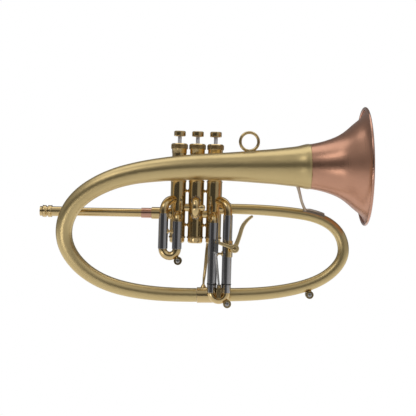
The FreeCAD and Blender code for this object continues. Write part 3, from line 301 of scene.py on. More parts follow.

# %% [markdown]
# ## Shared effect: edges and corners
#
# No edge on the horn is razor sharp: polishing rounds it, and handling keeps it brighter than the faces
# around it.  Where two parts meet, the corner gets painted shade: its colour is darkened and it is made
# a little rougher.  A Bevel node gives the rounded normal, and how far it leans from the plain normal marks the
# edge.
# Ambient Occlusion marks the corners for the painted shade, because it also sees the other part that the corner is
# made with.

# %% Edge group
def make_edges():
    tree, given, result = group_tree("edges", {
        "Colour": (COLOUR, (0.8, 0.6, 0.3, 1)),
        "Bright": (COLOUR, (0.95, 0.8, 0.5, 1)),
        # The next colour is what corners are darkened towards: painted shade.
        "Grime": (COLOUR, (0.05, 0.03, 0.015, 1)),
        "Wear": (FLOAT, 0.5),
        "Dirt": (FLOAT, 0.5),
    }, {"Colour": COLOUR, "Dirt": FLOAT, "Normal": VECTOR})
    plain = node(tree, "ShaderNodeNewGeometry")
    rounded = node(tree, "ShaderNodeBevel", samples=4, Radius=0.0003)
    lean = node(tree, "ShaderNodeVectorMath", operation="DOT_PRODUCT")
    wire(tree, plain.outputs["Normal"], lean.inputs[0])
    wire(tree, rounded.outputs["Normal"], lean.inputs[1])
    edge = node(tree, "ShaderNodeMapRange", From_Min=0.995, From_Max=0.86)
    wire(tree, lean.outputs["Value"], edge.inputs["Value"])
    worn = maths(tree, "MULTIPLY", edge.outputs["Result"], given.outputs["Wear"])
    # Ambient occlusion darkens the colour in corners between parts: painted shade; the same mask also makes the
    # corners rougher.
    nearby = node(tree, "ShaderNodeAmbientOcclusion", samples=4, Distance=0.0035)
    corner = node(tree, "ShaderNodeMapRange", From_Min=0.62, From_Max=0.18)
    wire(tree, nearby.outputs["AO"], corner.inputs["Value"])
    shade_in_corners = maths(tree, "MULTIPLY", corner.outputs["Result"], given.outputs["Dirt"])
    brightened = colour_mix(tree, worn, given.outputs["Colour"], given.outputs["Bright"])
    corners_shaded = colour_mix(tree, shade_in_corners, brightened, given.outputs["Grime"])
    wire(tree, corners_shaded, result.inputs["Colour"])
    wire(tree, shade_in_corners, result.inputs["Dirt"])
    wire(tree, rounded.outputs["Normal"], result.inputs["Normal"])
    return tree


EDGES = make_edges()
print("group", EDGES.name, len(EDGES.nodes), "nodes")

# %% [markdown]
# ## The metals
#
# One recipe makes every metal on the horn: the age group gives the colour, the edge group brightens its
# edges and darkens its corners with painted shade, the brushing group gives the roughness and the fine
# height, and all of it feeds one Principled shader.  What differs between satin stem, spun flare and polished cap
# is only the numbers and the way the brushing runs, so those are the recipe's inputs.

# %% The metal recipe
# How much rougher the corners get, under the same mask that paints shade into them.
CORNER_ROUGHENS = 0.4


# A metal's corner amount is how much painted shade the edge group puts into its corners.
def metal(name, colour, tarnish, roughness, spread=0.05, lines=900.0, run=12.0, bump=0.02, along=None,
          clouds=0.25, freckles=0.25, wear=0.4, corner_shade=0.3, coat=0.0, smear=0.05):
    """A metal; `along` is 'UV' for tubes that carry a map, or a rotation that turns Y to the brushing."""
    made = bpy.data.materials.new(name)
    made.use_nodes = True
    tree = made.node_tree
    shader = tree.nodes["Principled BSDF"]
    shader.inputs["Metallic"].default_value = 1.0
    shader.inputs["Coat Weight"].default_value = coat
    shader.inputs["Coat Roughness"].default_value = 0.08
    spot = node(tree, "ShaderNodeTexCoord")
    age = place_group(tree, AGE, Metal=(*colour, 1), Tarnish=(*tarnish, 1), Clouds=clouds,
                      Freckles=freckles, Smear=smear)
    wire(tree, spot.outputs["Object"], age.inputs["Place"])
    bright = [min(1.0, channel * 1.25 + 0.03) for channel in colour]
    # The colour that corners are darkened towards: painted shade, a quarter of the tarnish.
    shade_colour = [channel * 0.25 for channel in tarnish]
    edges = place_group(tree, EDGES, Bright=(*bright, 1), Grime=(*shade_colour, 1), Wear=wear, Dirt=corner_shade)
    wire(tree, age.outputs["Colour"], edges.inputs["Colour"])
    wire(tree, edges.outputs["Colour"], shader.inputs["Base Color"])
    brushing = place_group(tree, BRUSHING, Lines=lines, Run=run, Roughness=roughness, Spread=spread)
    if along == "UV":
        carried = node(tree, "ShaderNodeAttribute", attribute_name="tube_map")
        wire(tree, carried.outputs["Vector"], brushing.inputs["Place"])
    else:
        turn = node(tree, "ShaderNodeMapping")
        turn.inputs["Rotation"].default_value = along or (0, 0, 0)
        wire(tree, spot.outputs["Object"], turn.inputs["Vector"])
        wire(tree, turn.outputs[0], brushing.inputs["Place"])
    total = maths(tree, "ADD", brushing.outputs["Roughness"], age.outputs["Smear"], use_clamp=True)
    corner_roughness = maths(tree, "MULTIPLY_ADD", edges.outputs["Dirt"], CORNER_ROUGHENS, total, use_clamp=True)
    wire(tree, corner_roughness, shader.inputs["Roughness"])
    relief = node(tree, "ShaderNodeBump", Strength=bump, Distance=0.0002)
    wire(tree, brushing.outputs["Height"], relief.inputs["Height"])
    wire(tree, edges.outputs["Normal"], relief.inputs["Normal"])
    wire(tree, relief.outputs["Normal"], shader.inputs["Normal"])
    return made


BRASS = (0.74, 0.55, 0.27)
BRASS_TARNISH = (0.42, 0.27, 0.10)
SATIN = (0.70, 0.545, 0.27)
COPPER = (0.66, 0.355, 0.24)
UPRIGHT = (math.radians(90), 0, 0)
SIDEWAYS = (0, 0, math.radians(90))
METALS = {
    "polished_brass": metal("polished_brass", BRASS, BRASS_TARNISH, 0.11, spread=0.03, lines=500.0,
                            run=60.0, bump=0.002, along=UPRIGHT, clouds=0.2, freckles=0.15, coat=0.25),
    "satin_brass": metal("satin_brass", SATIN, (0.50, 0.36, 0.17), 0.32, spread=0.03, lines=1.0, run=1.0,
                         bump=0.004, along="UV", clouds=0.18, freckles=0.10, wear=0.2, corner_shade=0.06),
    "copper": metal("copper", COPPER, (0.42, 0.20, 0.13), 0.29, spread=0.12, lines=1.0, run=1.0, bump=0.04,
                    along="UV", clouds=0.20, freckles=0.15, wear=0.3, corner_shade=0.3),
    "polished_copper": metal("polished_copper", (0.66, 0.37, 0.27), (0.40, 0.19, 0.12), 0.15, lines=500.0,
                             run=60.0, bump=0.015, along=SIDEWAYS, coat=0.2),
    "nickel_silver": metal("nickel_silver", (0.56, 0.55, 0.56), (0.38, 0.36, 0.35), 0.07, spread=0.01,
                           lines=700.0, run=8.0, bump=0.001, along=UPRIGHT, clouds=0.08, freckles=0.04,
                           smear=0.02, corner_shade=0.2),
    "steel": metal("steel", (0.46, 0.45, 0.44), (0.22, 0.19, 0.16), 0.24, spread=0.1, lines=900.0, run=90.0,
                   bump=0.03, along=UPRIGHT),
}
# Metals of single parts: the bell brace, the valve stems, the lever, the knurls and the branch.
# The bell brace's nickel: its tarnish clouds are real age, and its warm tint is a painted reflection of the copper
# and brass around it.
METALS["aged_nickel_painted_warm_reflection"] = metal("aged_nickel_painted_warm_reflection", (0.56, 0.46, 0.36), (0.30, 0.22, 0.15), 0.28, bump=0.004,
                              along=UPRIGHT, clouds=0.35, freckles=0.2, wear=0.2, corner_shade=0.2)
METALS["valve_stem_steel"] = metal("valve_stem_steel", (0.86, 0.86, 0.90), (0.5, 0.48, 0.48), 0.42,
                                   bump=0.004, along=UPRIGHT, clouds=0.1, freckles=0.0, corner_shade=0.1)
METALS["cast_brass"] = metal("cast_brass", (0.84, 0.65, 0.34), BRASS_TARNISH, 0.34, bump=0.004,
                             along=UPRIGHT, clouds=0.2, freckles=0.1, wear=0.3, corner_shade=0.2)
METALS["knurled_brass"] = metal("knurled_brass", (0.50, 0.36, 0.18), (0.26, 0.17, 0.08), 0.38, bump=0.004,
                                along=UPRIGHT, clouds=0.2, freckles=0.1, wear=0.2, corner_shade=0.2)
METALS["branch_brass"] = metal("branch_brass", SATIN, (0.50, 0.36, 0.17), 0.32, spread=0.01, lines=260.0,
                               run=260.0, bump=0.001, clouds=0.18, freckles=0.10, wear=0.2, corner_shade=0.1)
print("metals", sorted(METALS))

# %% [markdown]
# ## Rubber, felt and mother of pearl
#
# Three soft or shiny things break up all the metal.  The two seal rings on the third slide are black
# rubber, the silencers inside the top caps are wool felt, and each button carries a thin pearl disc.
# Rubber gets a fine matt grain, felt a strong fibre bump, and pearl slow bands of pale colour.

# %% The other finishes
def plain_finish(name, colour, roughness, fibre, bump, second=None, bands=0.0):
    """Rubber, felt or pearl: a colour broken up by noise, with a fibre or grain in the surface."""
    made = bpy.data.materials.new(name)
    made.use_nodes = True
    tree = made.node_tree
    shader = tree.nodes["Principled BSDF"]
    spot = node(tree, "ShaderNodeTexCoord")
    grain = node(tree, "ShaderNodeTexNoise", Scale=fibre, Detail=6.0, Roughness=0.7, Distortion=bands)
    wire(tree, spot.outputs["Object"], grain.inputs["Vector"])
    blend = node(tree, "ShaderNodeMix", data_type="RGBA")
    blend.inputs[6].default_value = (*colour, 1)
    blend.inputs[7].default_value = (*(second or [channel * 0.55 for channel in colour]), 1)
    wire(tree, grain.outputs["Fac"], blend.inputs[0])
    wire(tree, blend.outputs[2], shader.inputs["Base Color"])
    rough = node(tree, "ShaderNodeMapRange", To_Min=roughness - 0.08, To_Max=min(1.0, roughness + 0.1))
    wire(tree, grain.outputs["Fac"], rough.inputs["Value"])
    wire(tree, rough.outputs["Result"], shader.inputs["Roughness"])
    relief = node(tree, "ShaderNodeBump", Strength=bump, Distance=0.0004)
    wire(tree, grain.outputs["Fac"], relief.inputs["Height"])
    wire(tree, relief.outputs["Normal"], shader.inputs["Normal"])
    return made


METALS["rubber"] = plain_finish("rubber", (0.02, 0.02, 0.022), 0.55, 2600.0, 0.15)
METALS["felt"] = plain_finish("felt", (0.10, 0.09, 0.08), 0.9, 5200.0, 0.9)
PEARL = plain_finish("pearl", (0.86, 0.84, 0.80), 0.18, 190.0, 0.02, second=(0.62, 0.68, 0.66), bands=2.2)
PEARL.node_tree.nodes["Principled BSDF"].inputs["Coat Weight"].default_value = 0.6
print("finishes", sorted(METALS))

# %% [markdown]
# ## Skins over the CAD parts
#
# The frame's meshes are loose triangles, one flat facet each, so a polished tube would look like cut
# glass.  A skin is a copy of the part with its doubled points merged and its normals made smooth, except
# at real corners.  Large faces then set the normals, so that slivers between them don't make polished
# metal sparkle.  The skin stands for the CAD part, rides on the same body and takes the same finish,
# so size and place can't drift.

# %% Making a skin
CREASE = math.radians(28)
DOUBLED_WITHIN = 0.000002
SLIVER = 0.000001
AREA_WEIGHT = 100


def skin(node_name, material=None, brush_space=None, crease=CREASE):
    """A smooth copy of a CAD node that replaces it, with its metal on."""
    mesh = frame["nodes"][node_name].data.copy()
    mesh.name = node_name + "_skin"
    work = bmesh.new()
    work.from_mesh(mesh)
    bmesh.ops.remove_doubles(work, verts=work.verts, dist=DOUBLED_WITHIN)
    bmesh.ops.dissolve_degenerate(work, edges=work.edges, dist=SLIVER)
    work.to_mesh(mesh)
    work.free()
    mesh.shade_smooth()
    mesh.set_sharp_from_angle(angle=crease)
    mesh.materials.clear()
    mesh.materials.append(material or METALS[SLOT_OF[node_name]])
    for face in mesh.polygons:
        face.material_index = 0
    if brush_space is not None:
        points = np.array([point.co for point in mesh.vertices])
        carried = mesh.attributes.new("tube_map", "FLOAT_VECTOR", "POINT")
        carried.data.foreach_set("vector", brush_space(points).astype(np.float32).ravel())
    made = scene_object(node_name + "_skin", mesh)
    steadied(made)
    finish_piece(made, BODY_OF[node_name])
    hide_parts(node_name)
    return made


def steadied(piece):
    """Let large faces set the normals, so that slivers between them don't make polished metal sparkle."""
    steady = piece.modifiers.new("steady", "WEIGHTED_NORMAL")
    steady.mode = "FACE_AREA"
    steady.weight = AREA_WEIGHT
    steady.keep_sharp = True
    mesh = with_modifiers(piece)
    piece.modifiers.clear()
    piece.data = mesh


def finish_piece(piece, body):
    """Every piece rides on a body."""
    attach(piece, body)
    return piece


print("crease angle", round(math.degrees(CREASE)), "degrees")

# %% [markdown]
# ## Which way the brushing runs
#
# The wide brass tube is brushed along its length and the flare is brushed round and round, as it spins on
# the lathe.  The noise has to follow, so each point carries a second place: the horn unrolled.  The oval
# is two straight runs joined by a half circle at the left, so a point's way along it is its X on the
# straight runs and its angle round the left bow's middle on the bow.

# %% The oval, unrolled
STREAKS = 700.0
STREAK_RUN = 14.0
BOW_REACH = 0.06


def bow_centre(node_name, side):
    """The middle of a bow: level with its outermost point, half the oval's height inside it."""
    points = points_of(node_name)
    tip = points[np.argmax(points[:, 0] * side)]
    low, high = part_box("bell_branch")
    return tip[0] - side * (high.z - low.z) / 2, tip[2]


LEFT_BOW = bow_centre("bell_stem", -1)
RIGHT_BOW = bow_centre("bell_branch", 1)


def along_a_bow(centre, side):
    """Brush space for a tube that turns about `centre`: fine across the tube, long along it."""
    def brush_space(points):
        x, y, z = points.T
        height = z - centre[1]
        turned_part = np.maximum((x - centre[0]) * side, 0)
        straight_part = np.minimum((x - centre[0]) * side, 0)
        along = np.arctan2(turned_part, np.abs(height) + 1e-6) * BOW_REACH + straight_part
        out = np.hypot(turned_part, height)
        return np.stack([y * STREAKS, along * STREAK_RUN * np.sign(height), out * STREAKS], axis=1)
    return brush_space


def round_the_flare(points):
    """Brush space for the flare: fine from neck to rim, long round it."""
    x, y, z = points.T
    centre = middle("bell_rim_wire")
    radius = np.hypot(y - centre.y, z - centre.z)
    profile = x + radius
    return np.stack([profile * STREAKS, (y - centre.y) * STREAK_RUN, (z - centre.z) * STREAK_RUN], axis=1)


TUBE_MAPS = {
    "bell_stem": along_a_bow(LEFT_BOW, -1),
    "bell_branch": along_a_bow(RIGHT_BOW, 1),
    "bell_flare": round_the_flare,
}
print("left bow centre", [round(float(v), 3) for v in LEFT_BOW],
      "right", [round(float(v), 3) for v in RIGHT_BOW])

# %% [markdown]
# ## Dressing the horn
#
# Almost every part keeps its CAD shape, so one loop dresses them all.  Parts that get a shape of their own
# further down are left out here: the valve springs, the valve casings, and the trigger's lever and screw.

# %% Skins for the parts that keep their shape
REMADE = {"valve_spring_1", "valve_spring_2", "valve_spring_3", "valve_casing_1", "valve_casing_2",
          "valve_casing_3", "trigger_screw", "trigger_lever"}
SPECIAL = {f"valve_stem_{number}": METALS["valve_stem_steel"] for number in (1, 2, 3)}
SPECIAL["bell_brace"] = METALS["aged_nickel_painted_warm_reflection"]
SPECIAL["bell_branch"] = METALS["branch_brass"]
SKINS = {}
for part in sorted(frame["nodes"]):
    if part not in REMADE:
        SKINS[part] = skin(part, SPECIAL.get(part), brush_space=TUBE_MAPS.get(part))
print("skins", len(SKINS), "triangles", sum(len(made.data.polygons) for made in SKINS.values()))

# %% [markdown]
# ## A Geometry Nodes helper
#
# The springs and the knurled rings are rules, not drawings: a wire on a spiral, a ridge repeated round a
# circle.  Geometry Nodes say that directly.  Each tree gets named inputs, and its result is taken as a
# plain mesh, because the export keeps no modifiers.

# %% Trees and baking
def geometry_tree(name, inputs):
    """A Geometry Nodes tree with named inputs {name: (socket type, default)}."""
    tree = bpy.data.node_groups.new(name, "GeometryNodeTree")
    tree.interface.new_socket("Geometry", in_out="INPUT", socket_type="NodeSocketGeometry")
    for label, (kind, default) in inputs.items():
        socket = tree.interface.new_socket(label, in_out="INPUT", socket_type=kind)
        if default is not None:
            socket.default_value = default
    tree.interface.new_socket("Geometry", in_out="OUTPUT", socket_type="NodeSocketGeometry")
    return tree, tree.nodes.new("NodeGroupInput"), tree.nodes.new("NodeGroupOutput")


def baked(tree, name, turn, values):
    """Run a tree with these input values, then put the plain mesh where `turn` says."""
    holder = scene_object(name + "_holder", bpy.data.meshes.new(name + "_holder"))
    made_by = holder.modifiers.new("made_by", "NODES")
    made_by.node_group = tree
    for item in tree.interface.items_tree:
        if item.item_type == "SOCKET" and item.in_out == "INPUT" and item.name in values:
            made_by[item.identifier] = values[item.name]
    mesh = with_modifiers(holder, preserve_all_data_layers=True)
    bpy.data.objects.remove(holder)
    mesh.name = name
    mesh.transform(turn)
    mesh.shade_smooth()
    mesh.set_sharp_from_angle(angle=math.radians(40))
    made = scene_object(name, mesh)
    return made


def standing_at(origin, up):
    """A transform that puts a piece's Z axis along `up`, with its foot at `origin`."""
    return Matrix.Translation(origin) @ Vector((0, 0, 1)).rotation_difference(up).to_matrix().to_4x4()


print("ready to bake trees")

# %% [markdown]
# ## Valve springs
#
# Each valve is pushed back up by a long soft coil round its stem, between the guide and the stem's
# collar.  In the frame it is a sleeve.  Here it is a real coil: a Spiral curve with a round wire swept
# along it.  When a valve is pressed the real coil gets shorter; this one keeps its length and rides on the body of
# its sleeve.

# %% Spring tree
def make_spring_tree():
    tree, given, result = geometry_tree("coil_spring", {
        "Coil Radius": (FLOAT, 0.0058),
        "Wire Radius": (FLOAT, 0.00045),
        "Height": (FLOAT, 0.027),
        "Turns": (FLOAT, 7.0),
        "Finish": ("NodeSocketMaterial", None),
    })
    coil = node(tree, "GeometryNodeCurveSpiral", Resolution=40)
    wire(tree, given.outputs["Coil Radius"], coil.inputs["Start Radius"])
    wire(tree, given.outputs["Coil Radius"], coil.inputs["End Radius"])
    wire(tree, given.outputs["Height"], coil.inputs["Height"])
    wire(tree, given.outputs["Turns"], coil.inputs["Rotations"])
    section = node(tree, "GeometryNodeCurvePrimitiveCircle", Resolution=10)
    wire(tree, given.outputs["Wire Radius"], section.inputs["Radius"])
    swept = node(tree, "GeometryNodeCurveToMesh", Fill_Caps=True)
    wire(tree, coil.outputs["Curve"], swept.inputs["Curve"])
    wire(tree, section.outputs["Curve"], swept.inputs["Profile Curve"])
    painted_result(tree, given, result, swept.outputs["Mesh"])
    return tree


SPRING_TREE = make_spring_tree()
WIRE = 0.45 * MM
COIL = 5.8 * MM
for number in (1, 2, 3):
    sleeve_node = f"valve_spring_{number}"
    centre = middle(sleeve_node)
    bottom, top = span_along(sleeve_node, VALVE_UP, centre)
    foot = centre + VALVE_UP * (bottom + WIRE)
    spring = baked(SPRING_TREE, f"coil_{number}", standing_at(foot, VALVE_UP), {
        "Coil Radius": COIL, "Wire Radius": WIRE, "Height": top - bottom - 2 * WIRE, "Turns": 7.0,
        "Finish": METALS["steel"]})
    finish_piece(spring, BODY_OF[sleeve_node])
    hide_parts(sleeve_node)
    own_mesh(spring)
    print(sleeve_node, "coil", round((top - bottom) / MM, 1), "mm tall,",
          len(spring.data.polygons), "faces")

# %% [markdown]
# ## Knurled rings
#
# Anything that fingers unscrew has a knurl: a band of small pressed ridges.  The three top caps, the rings
# of the three bottom caps and the receiver's two beads have one.  A single ridge is a little four-sided
# roof, made here with the ridge standing along Z, and the tree copies it round the circle.

# %% Knurl tree
def make_knurl_tree():
    tree, given, result = geometry_tree("knurl", {
        "Radius": (FLOAT, 0.0107),
        "Height": (FLOAT, 0.003),
        "Ridges": ("NodeSocketInt", 90),
        "Depth": (FLOAT, 0.00018),
        "Finish": ("NodeSocketMaterial", None),
    })
    circle = node(tree, "GeometryNodeCurvePrimitiveCircle")
    wire(tree, given.outputs["Ridges"], circle.inputs["Resolution"])
    wire(tree, given.outputs["Radius"], circle.inputs["Radius"])
    stops = node(tree, "GeometryNodeCurveToPoints", mode="EVALUATED")
    wire(tree, circle.outputs["Curve"], stops.inputs["Curve"])
    ridge = node(tree, "GeometryNodeMeshCylinder", Vertices=4, Side_Segments=1)
    wire(tree, given.outputs["Height"], ridge.inputs["Depth"])
    full = node(tree, "ShaderNodeMath", operation="MULTIPLY")
    full.inputs[1].default_value = 1.9
    wire(tree, given.outputs["Depth"], full.inputs[0])
    wire(tree, full.outputs[0], ridge.inputs["Radius"])
    copies = node(tree, "GeometryNodeInstanceOnPoints")
    wire(tree, stops.outputs["Points"], copies.inputs["Points"])
    wire(tree, ridge.outputs["Mesh"], copies.inputs["Instance"])
    place = node(tree, "GeometryNodeInputPosition")
    angle = node(tree, "FunctionNodeAlignRotationToVector", axis="X", pivot_axis="Z")
    wire(tree, place.outputs["Position"], angle.inputs["Vector"])
    wire(tree, angle.outputs["Rotation"], copies.inputs["Rotation"])
    painted_result(tree, given, result, copies.outputs["Instances"])
    return tree


KNURL_TREE = make_knurl_tree()


def joined(name, pieces):
    """Several baked pieces as one object."""
    whole = bmesh.new()
    for piece in pieces:
        whole.from_mesh(piece.data)
    mesh = bpy.data.meshes.new(name)
    for material in pieces[0].data.materials:
        mesh.materials.append(material)
    whole.to_mesh(mesh)
    whole.free()
    for piece in pieces:
        bpy.data.objects.remove(piece)
    made = scene_object(name, mesh)
    return made


def knurled_bands(name, bands, body):
    """Knurls on several beads: each band is (middle, axis, radius, height, ridges)."""
    rings = []
    for number, (centre, axis, radius, height, ridges) in enumerate(bands):
        rings.append(baked(KNURL_TREE, f"{name}_{number}", standing_at(centre, axis), {
            "Radius": radius, "Height": height, "Ridges": ridges, "Finish": METALS["knurled_brass"]}))
    made = joined(name, rings)
    return finish_piece(made, body)


print("knurl tree", len(KNURL_TREE.nodes), "nodes")

# %% [markdown]
# ## Where the knurls sit
#
# The caps' knurls are found from the caps' own boxes, along the valves' axis.  The receiver's two beads
# are bands where its outside stands proudest, so the code looks for those bands in the receiver's points
# instead of typing them in.

# %% Knurls on the caps
KNURL_SUNK = 0.08 * MM
CAP_RIDGES = 96
RECEIVER_RIDGES = 84
cap_radius = {}
for cap_node in ("top_caps", "bottom_caps"):
    reach = points_of(cap_node) - np.array(middle("piston_2"))
    height = reach @ np.array(VALVE_UP)
    off_axis = reach - np.outer(height, np.array(VALVE_UP))
    near = np.hypot(off_axis[:, 0], off_axis[:, 1]) < 12 * MM
    radius = np.hypot(off_axis[:, 0], off_axis[:, 1])[near]
    widest = radius.max()
    proud = height[near][radius > widest - 0.15 * MM]
    cap_radius[cap_node] = (widest, float(proud.min()), float(proud.max()))
    print(cap_node, "knurl radius", round(widest / MM, 2), "from", round(proud.min() / MM, 1),
          "to", round(proud.max() / MM, 1), "mm")


def cap_bands(cap_node, margin, ridges):
    """One band on each of the three caps, a little shorter than the bead it is pressed into."""
    widest, low, high = cap_radius[cap_node]
    bands = []
    for number in (1, 2, 3):
        centre = middle(f"piston_{number}") + VALVE_UP * (low + high) / 2
        bands.append((centre, VALVE_UP, widest - KNURL_SUNK, high - low - margin, ridges))
    return bands


knurled_bands("top_cap_knurls", cap_bands("top_caps", 1.0 * MM, CAP_RIDGES), "horn")
knurled_bands("bottom_cap_knurls", cap_bands("bottom_caps", 0.5 * MM, CAP_RIDGES), "horn")

# %% Knurls on the receiver
receiver = points_of("mouthpiece_receiver") - np.array(middle("mouthpiece_receiver"))
along_pipe = receiver @ np.array(PIPE_ALONG)
from_axis = np.linalg.norm(receiver - np.outer(along_pipe, np.array(PIPE_ALONG)), axis=1)
bead_radius = from_axis.max()
bead_points = np.unique(np.round(along_pipe[from_axis > bead_radius - 0.12 * MM], 5))
breaks = np.flatnonzero(np.diff(bead_points) > 2.2 * MM)
beads = np.split(bead_points, breaks + 1)
print("bead edges mm", [[round(float(edge) / MM, 1) for edge in bead] for bead in beads])
receiver_bands = []
for bead in ((beads[0][0], beads[0][-1]), (beads[-1][0], beads[-1][-1])):
    centre = middle("mouthpiece_receiver") + PIPE_ALONG * float(bead[0] + bead[1]) / 2
    receiver_bands.append((centre, PIPE_ALONG, bead_radius - KNURL_SUNK, float(bead[1] - bead[0]),
                           RECEIVER_RIDGES))
knurled_bands("receiver_knurls", receiver_bands, BODY_OF["mouthpiece_receiver"])

# %% [markdown]
# ## Valve casings, turned again
#
# The casings have port holes in them, and the frame's triangles run unevenly between the holes, which
# bends the reflections in polished brass.  The holes themselves are hidden under the tubes soldered over
# them.  So the casings are turned afresh: rays read the CAD casing's radius at many heights on its plain
# back side, and the outline is spun round the valve's axis, as on a lathe.

# %% Lathe tools
def surface_of(node_name):
    mesh = frame["nodes"][node_name].data
    return BVHTree.FromPolygons([point.co for point in mesh.vertices],
                                [face.vertices[:] for face in mesh.polygons])


def corners_only(outline, tolerance=0.00002):
    """Drop the outline points that lie on a straight line between their neighbours."""
    kept = [outline[0]]
    for before, here, after in zip(outline, outline[1:], outline[2:]):
        share = (here[1] - before[1]) / max(after[1] - before[1], 1e-9)
        if abs(before[0] + (after[0] - before[0]) * share - here[0]) > tolerance:
            kept.append(here)
    return kept + [outline[-1]]


def read_outline(node_name, centre, axis, outside):
    """(radius, height) points of a turned part, seen by rays from outside or from its axis."""
    surface = surface_of(node_name)
    low, high = span_along(node_name, axis, centre)
    back = Vector((0, 1, 0))
    reach = 0.03
    found = []
    for height in np.arange(low + 0.00004, high, 0.0001):
        level = centre + axis * float(height)
        if outside:
            hit = surface.ray_cast(level + back * reach, -back, reach)
            radius = reach - hit[3] if hit[0] else None
        else:
            hit = surface.ray_cast(level, back, reach)
            radius = hit[3]
        if radius is not None:
            found.append((radius, float(height)))
    return corners_only(found)


def spun(name, loop, centre, axis, segments=96):
    """Spin a closed (radius, height) loop round an axis."""
    lathe = bmesh.new()
    rings = []
    for step in range(segments):
        turn = math.tau * step / segments
        rings.append([lathe.verts.new((radius * math.cos(turn), radius * math.sin(turn), height))
                      for radius, height in loop])
    for step in range(segments):
        here, beyond = rings[step], rings[(step + 1) % segments]
        for index in range(len(loop)):
            along = (index + 1) % len(loop)
            lathe.faces.new((here[index], beyond[index], beyond[along], here[along]))
    bmesh.ops.remove_doubles(lathe, verts=lathe.verts, dist=SLIVER)
    bmesh.ops.recalc_face_normals(lathe, faces=lathe.faces)
    mesh = bpy.data.meshes.new(name)
    lathe.to_mesh(mesh)
    lathe.free()
    mesh.transform(standing_at(centre, axis))
    mesh.shade_smooth()
    mesh.set_sharp_from_angle(angle=math.radians(30))
    made = scene_object(name, mesh)
    return made


# %% Spin the casings
for number in (1, 2, 3):
    casing_node = f"valve_casing_{number}"
    axis_middle = middle(f"piston_{number}")
    outside = read_outline(casing_node, axis_middle, VALVE_UP, True)
    inside = read_outline(casing_node, axis_middle, VALVE_UP, False)
    casing = spun(f"casing_{number}", outside + inside[::-1], axis_middle, VALVE_UP)
    casing.data.materials.append(METALS["polished_brass"])
    finish_piece(casing, "horn")
    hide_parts(casing_node)
    print(casing_node, "outline of", len(outside), "+", len(inside), "points")

# %% [markdown]
# ## The trigger's lever and screw
#
# The lever is cast, so it has no sharp corners: every edge is rounded where a finger meets it.  A voxel
# remesh of the CAD lever followed by smoothing wears it round, and the result is filled out by 0.6 mm on
# every side.  The screw is turned, and its slot is cut with a Boolean, as a saw cuts the real one.

# %% Cast lever
def worn_round(node_name, name, voxel, passes, plump, material):
    """A CAD part remeshed in small cubes, smoothed, and filled out by what the smoothing took off."""
    piece = scene_object(name, frame["nodes"][node_name].data.copy())
    merged = bmesh.new()
    merged.from_mesh(piece.data)
    bmesh.ops.remove_doubles(merged, verts=merged.verts, dist=DOUBLED_WITHIN)
    merged.to_mesh(piece.data)
    merged.free()
    remesh = piece.modifiers.new("remesh", "REMESH")
    remesh.mode = "VOXEL"
    remesh.voxel_size = voxel
    remesh.use_smooth_shade = True
    smooth = piece.modifiers.new("smooth", "SMOOTH")
    smooth.factor = 0.5
    smooth.iterations = passes
    fuller = piece.modifiers.new("fuller", "DISPLACE")
    fuller.strength = plump
    fuller.mid_level = 0.0
    mesh = with_modifiers(piece)
    piece.modifiers.clear()
    piece.data = mesh
    mesh.shade_smooth()
    mesh.materials.clear()
    mesh.materials.append(material)
    finish_piece(piece, BODY_OF[node_name])
    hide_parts(node_name)
    return piece


LEVER_VOXEL = 0.00022
LEVER_PASSES = 14
LEVER_FILL = 0.6 * MM
lever = worn_round("trigger_lever", "cast_lever", LEVER_VOXEL, LEVER_PASSES, LEVER_FILL,
                   METALS["cast_brass"])
print("lever faces", len(lever.data.polygons))

# %% Slotted screw
screw_low, screw_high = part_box("trigger_screw")
screw_foot = Vector(((screw_low.x + screw_high.x) / 2, screw_high.y, (screw_low.z + screw_high.z) / 2))
head_radius = (screw_high.x - screw_low.x) / 2
screw_length = screw_high.y - screw_low.y
shank = 1.5 * MM
screw = spun("slotted_screw", [
    (0.0, 0.0), (shank, 0.0), (shank, screw_length - 0.9 * MM), (head_radius, screw_length - 0.9 * MM),
    (head_radius, screw_length - 0.35 * MM), (head_radius * 0.86, screw_length - 0.1 * MM),
    (head_radius * 0.6, screw_length), (0.0, screw_length)], screw_foot, FRONT, 48)
saw = bmesh.new()
bmesh.ops.create_cube(saw, size=1.0)
saw_mesh = bpy.data.meshes.new("saw")
saw.to_mesh(saw_mesh)
saw.free()
head_front = Vector((screw_foot.x, screw_low.y, screw_foot.z))
saw_mesh.transform(Matrix.Translation(head_front) @ Matrix.Rotation(math.radians(35), 4, "Y")
                   @ Matrix.Diagonal((8 * MM, 1.0 * MM, 0.7 * MM, 1)))
saw_object = scene_object("saw", saw_mesh)
cut = screw.modifiers.new("slot", "BOOLEAN")
cut.operation = "DIFFERENCE"
cut.object = saw_object
slotted = with_modifiers(screw)
screw.modifiers.clear()
screw.data = slotted
bpy.data.objects.remove(saw_object)
slotted.materials.clear()
slotted.materials.append(METALS["polished_brass"])
finish_piece(screw, BODY_OF["trigger_screw"])
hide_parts("trigger_screw")
print("screw head radius", round(head_radius / MM, 2), "mm,", len(slotted.polygons), "faces")

# %% [markdown]
# ## Pearl in the finger buttons
#
# Each finger button is a brass cup with a disc of mother of pearl let into its top.  The disc is slightly
# domed and sits a hair below the cup's rim, so that the finger feels the pearl and the rim protects it.

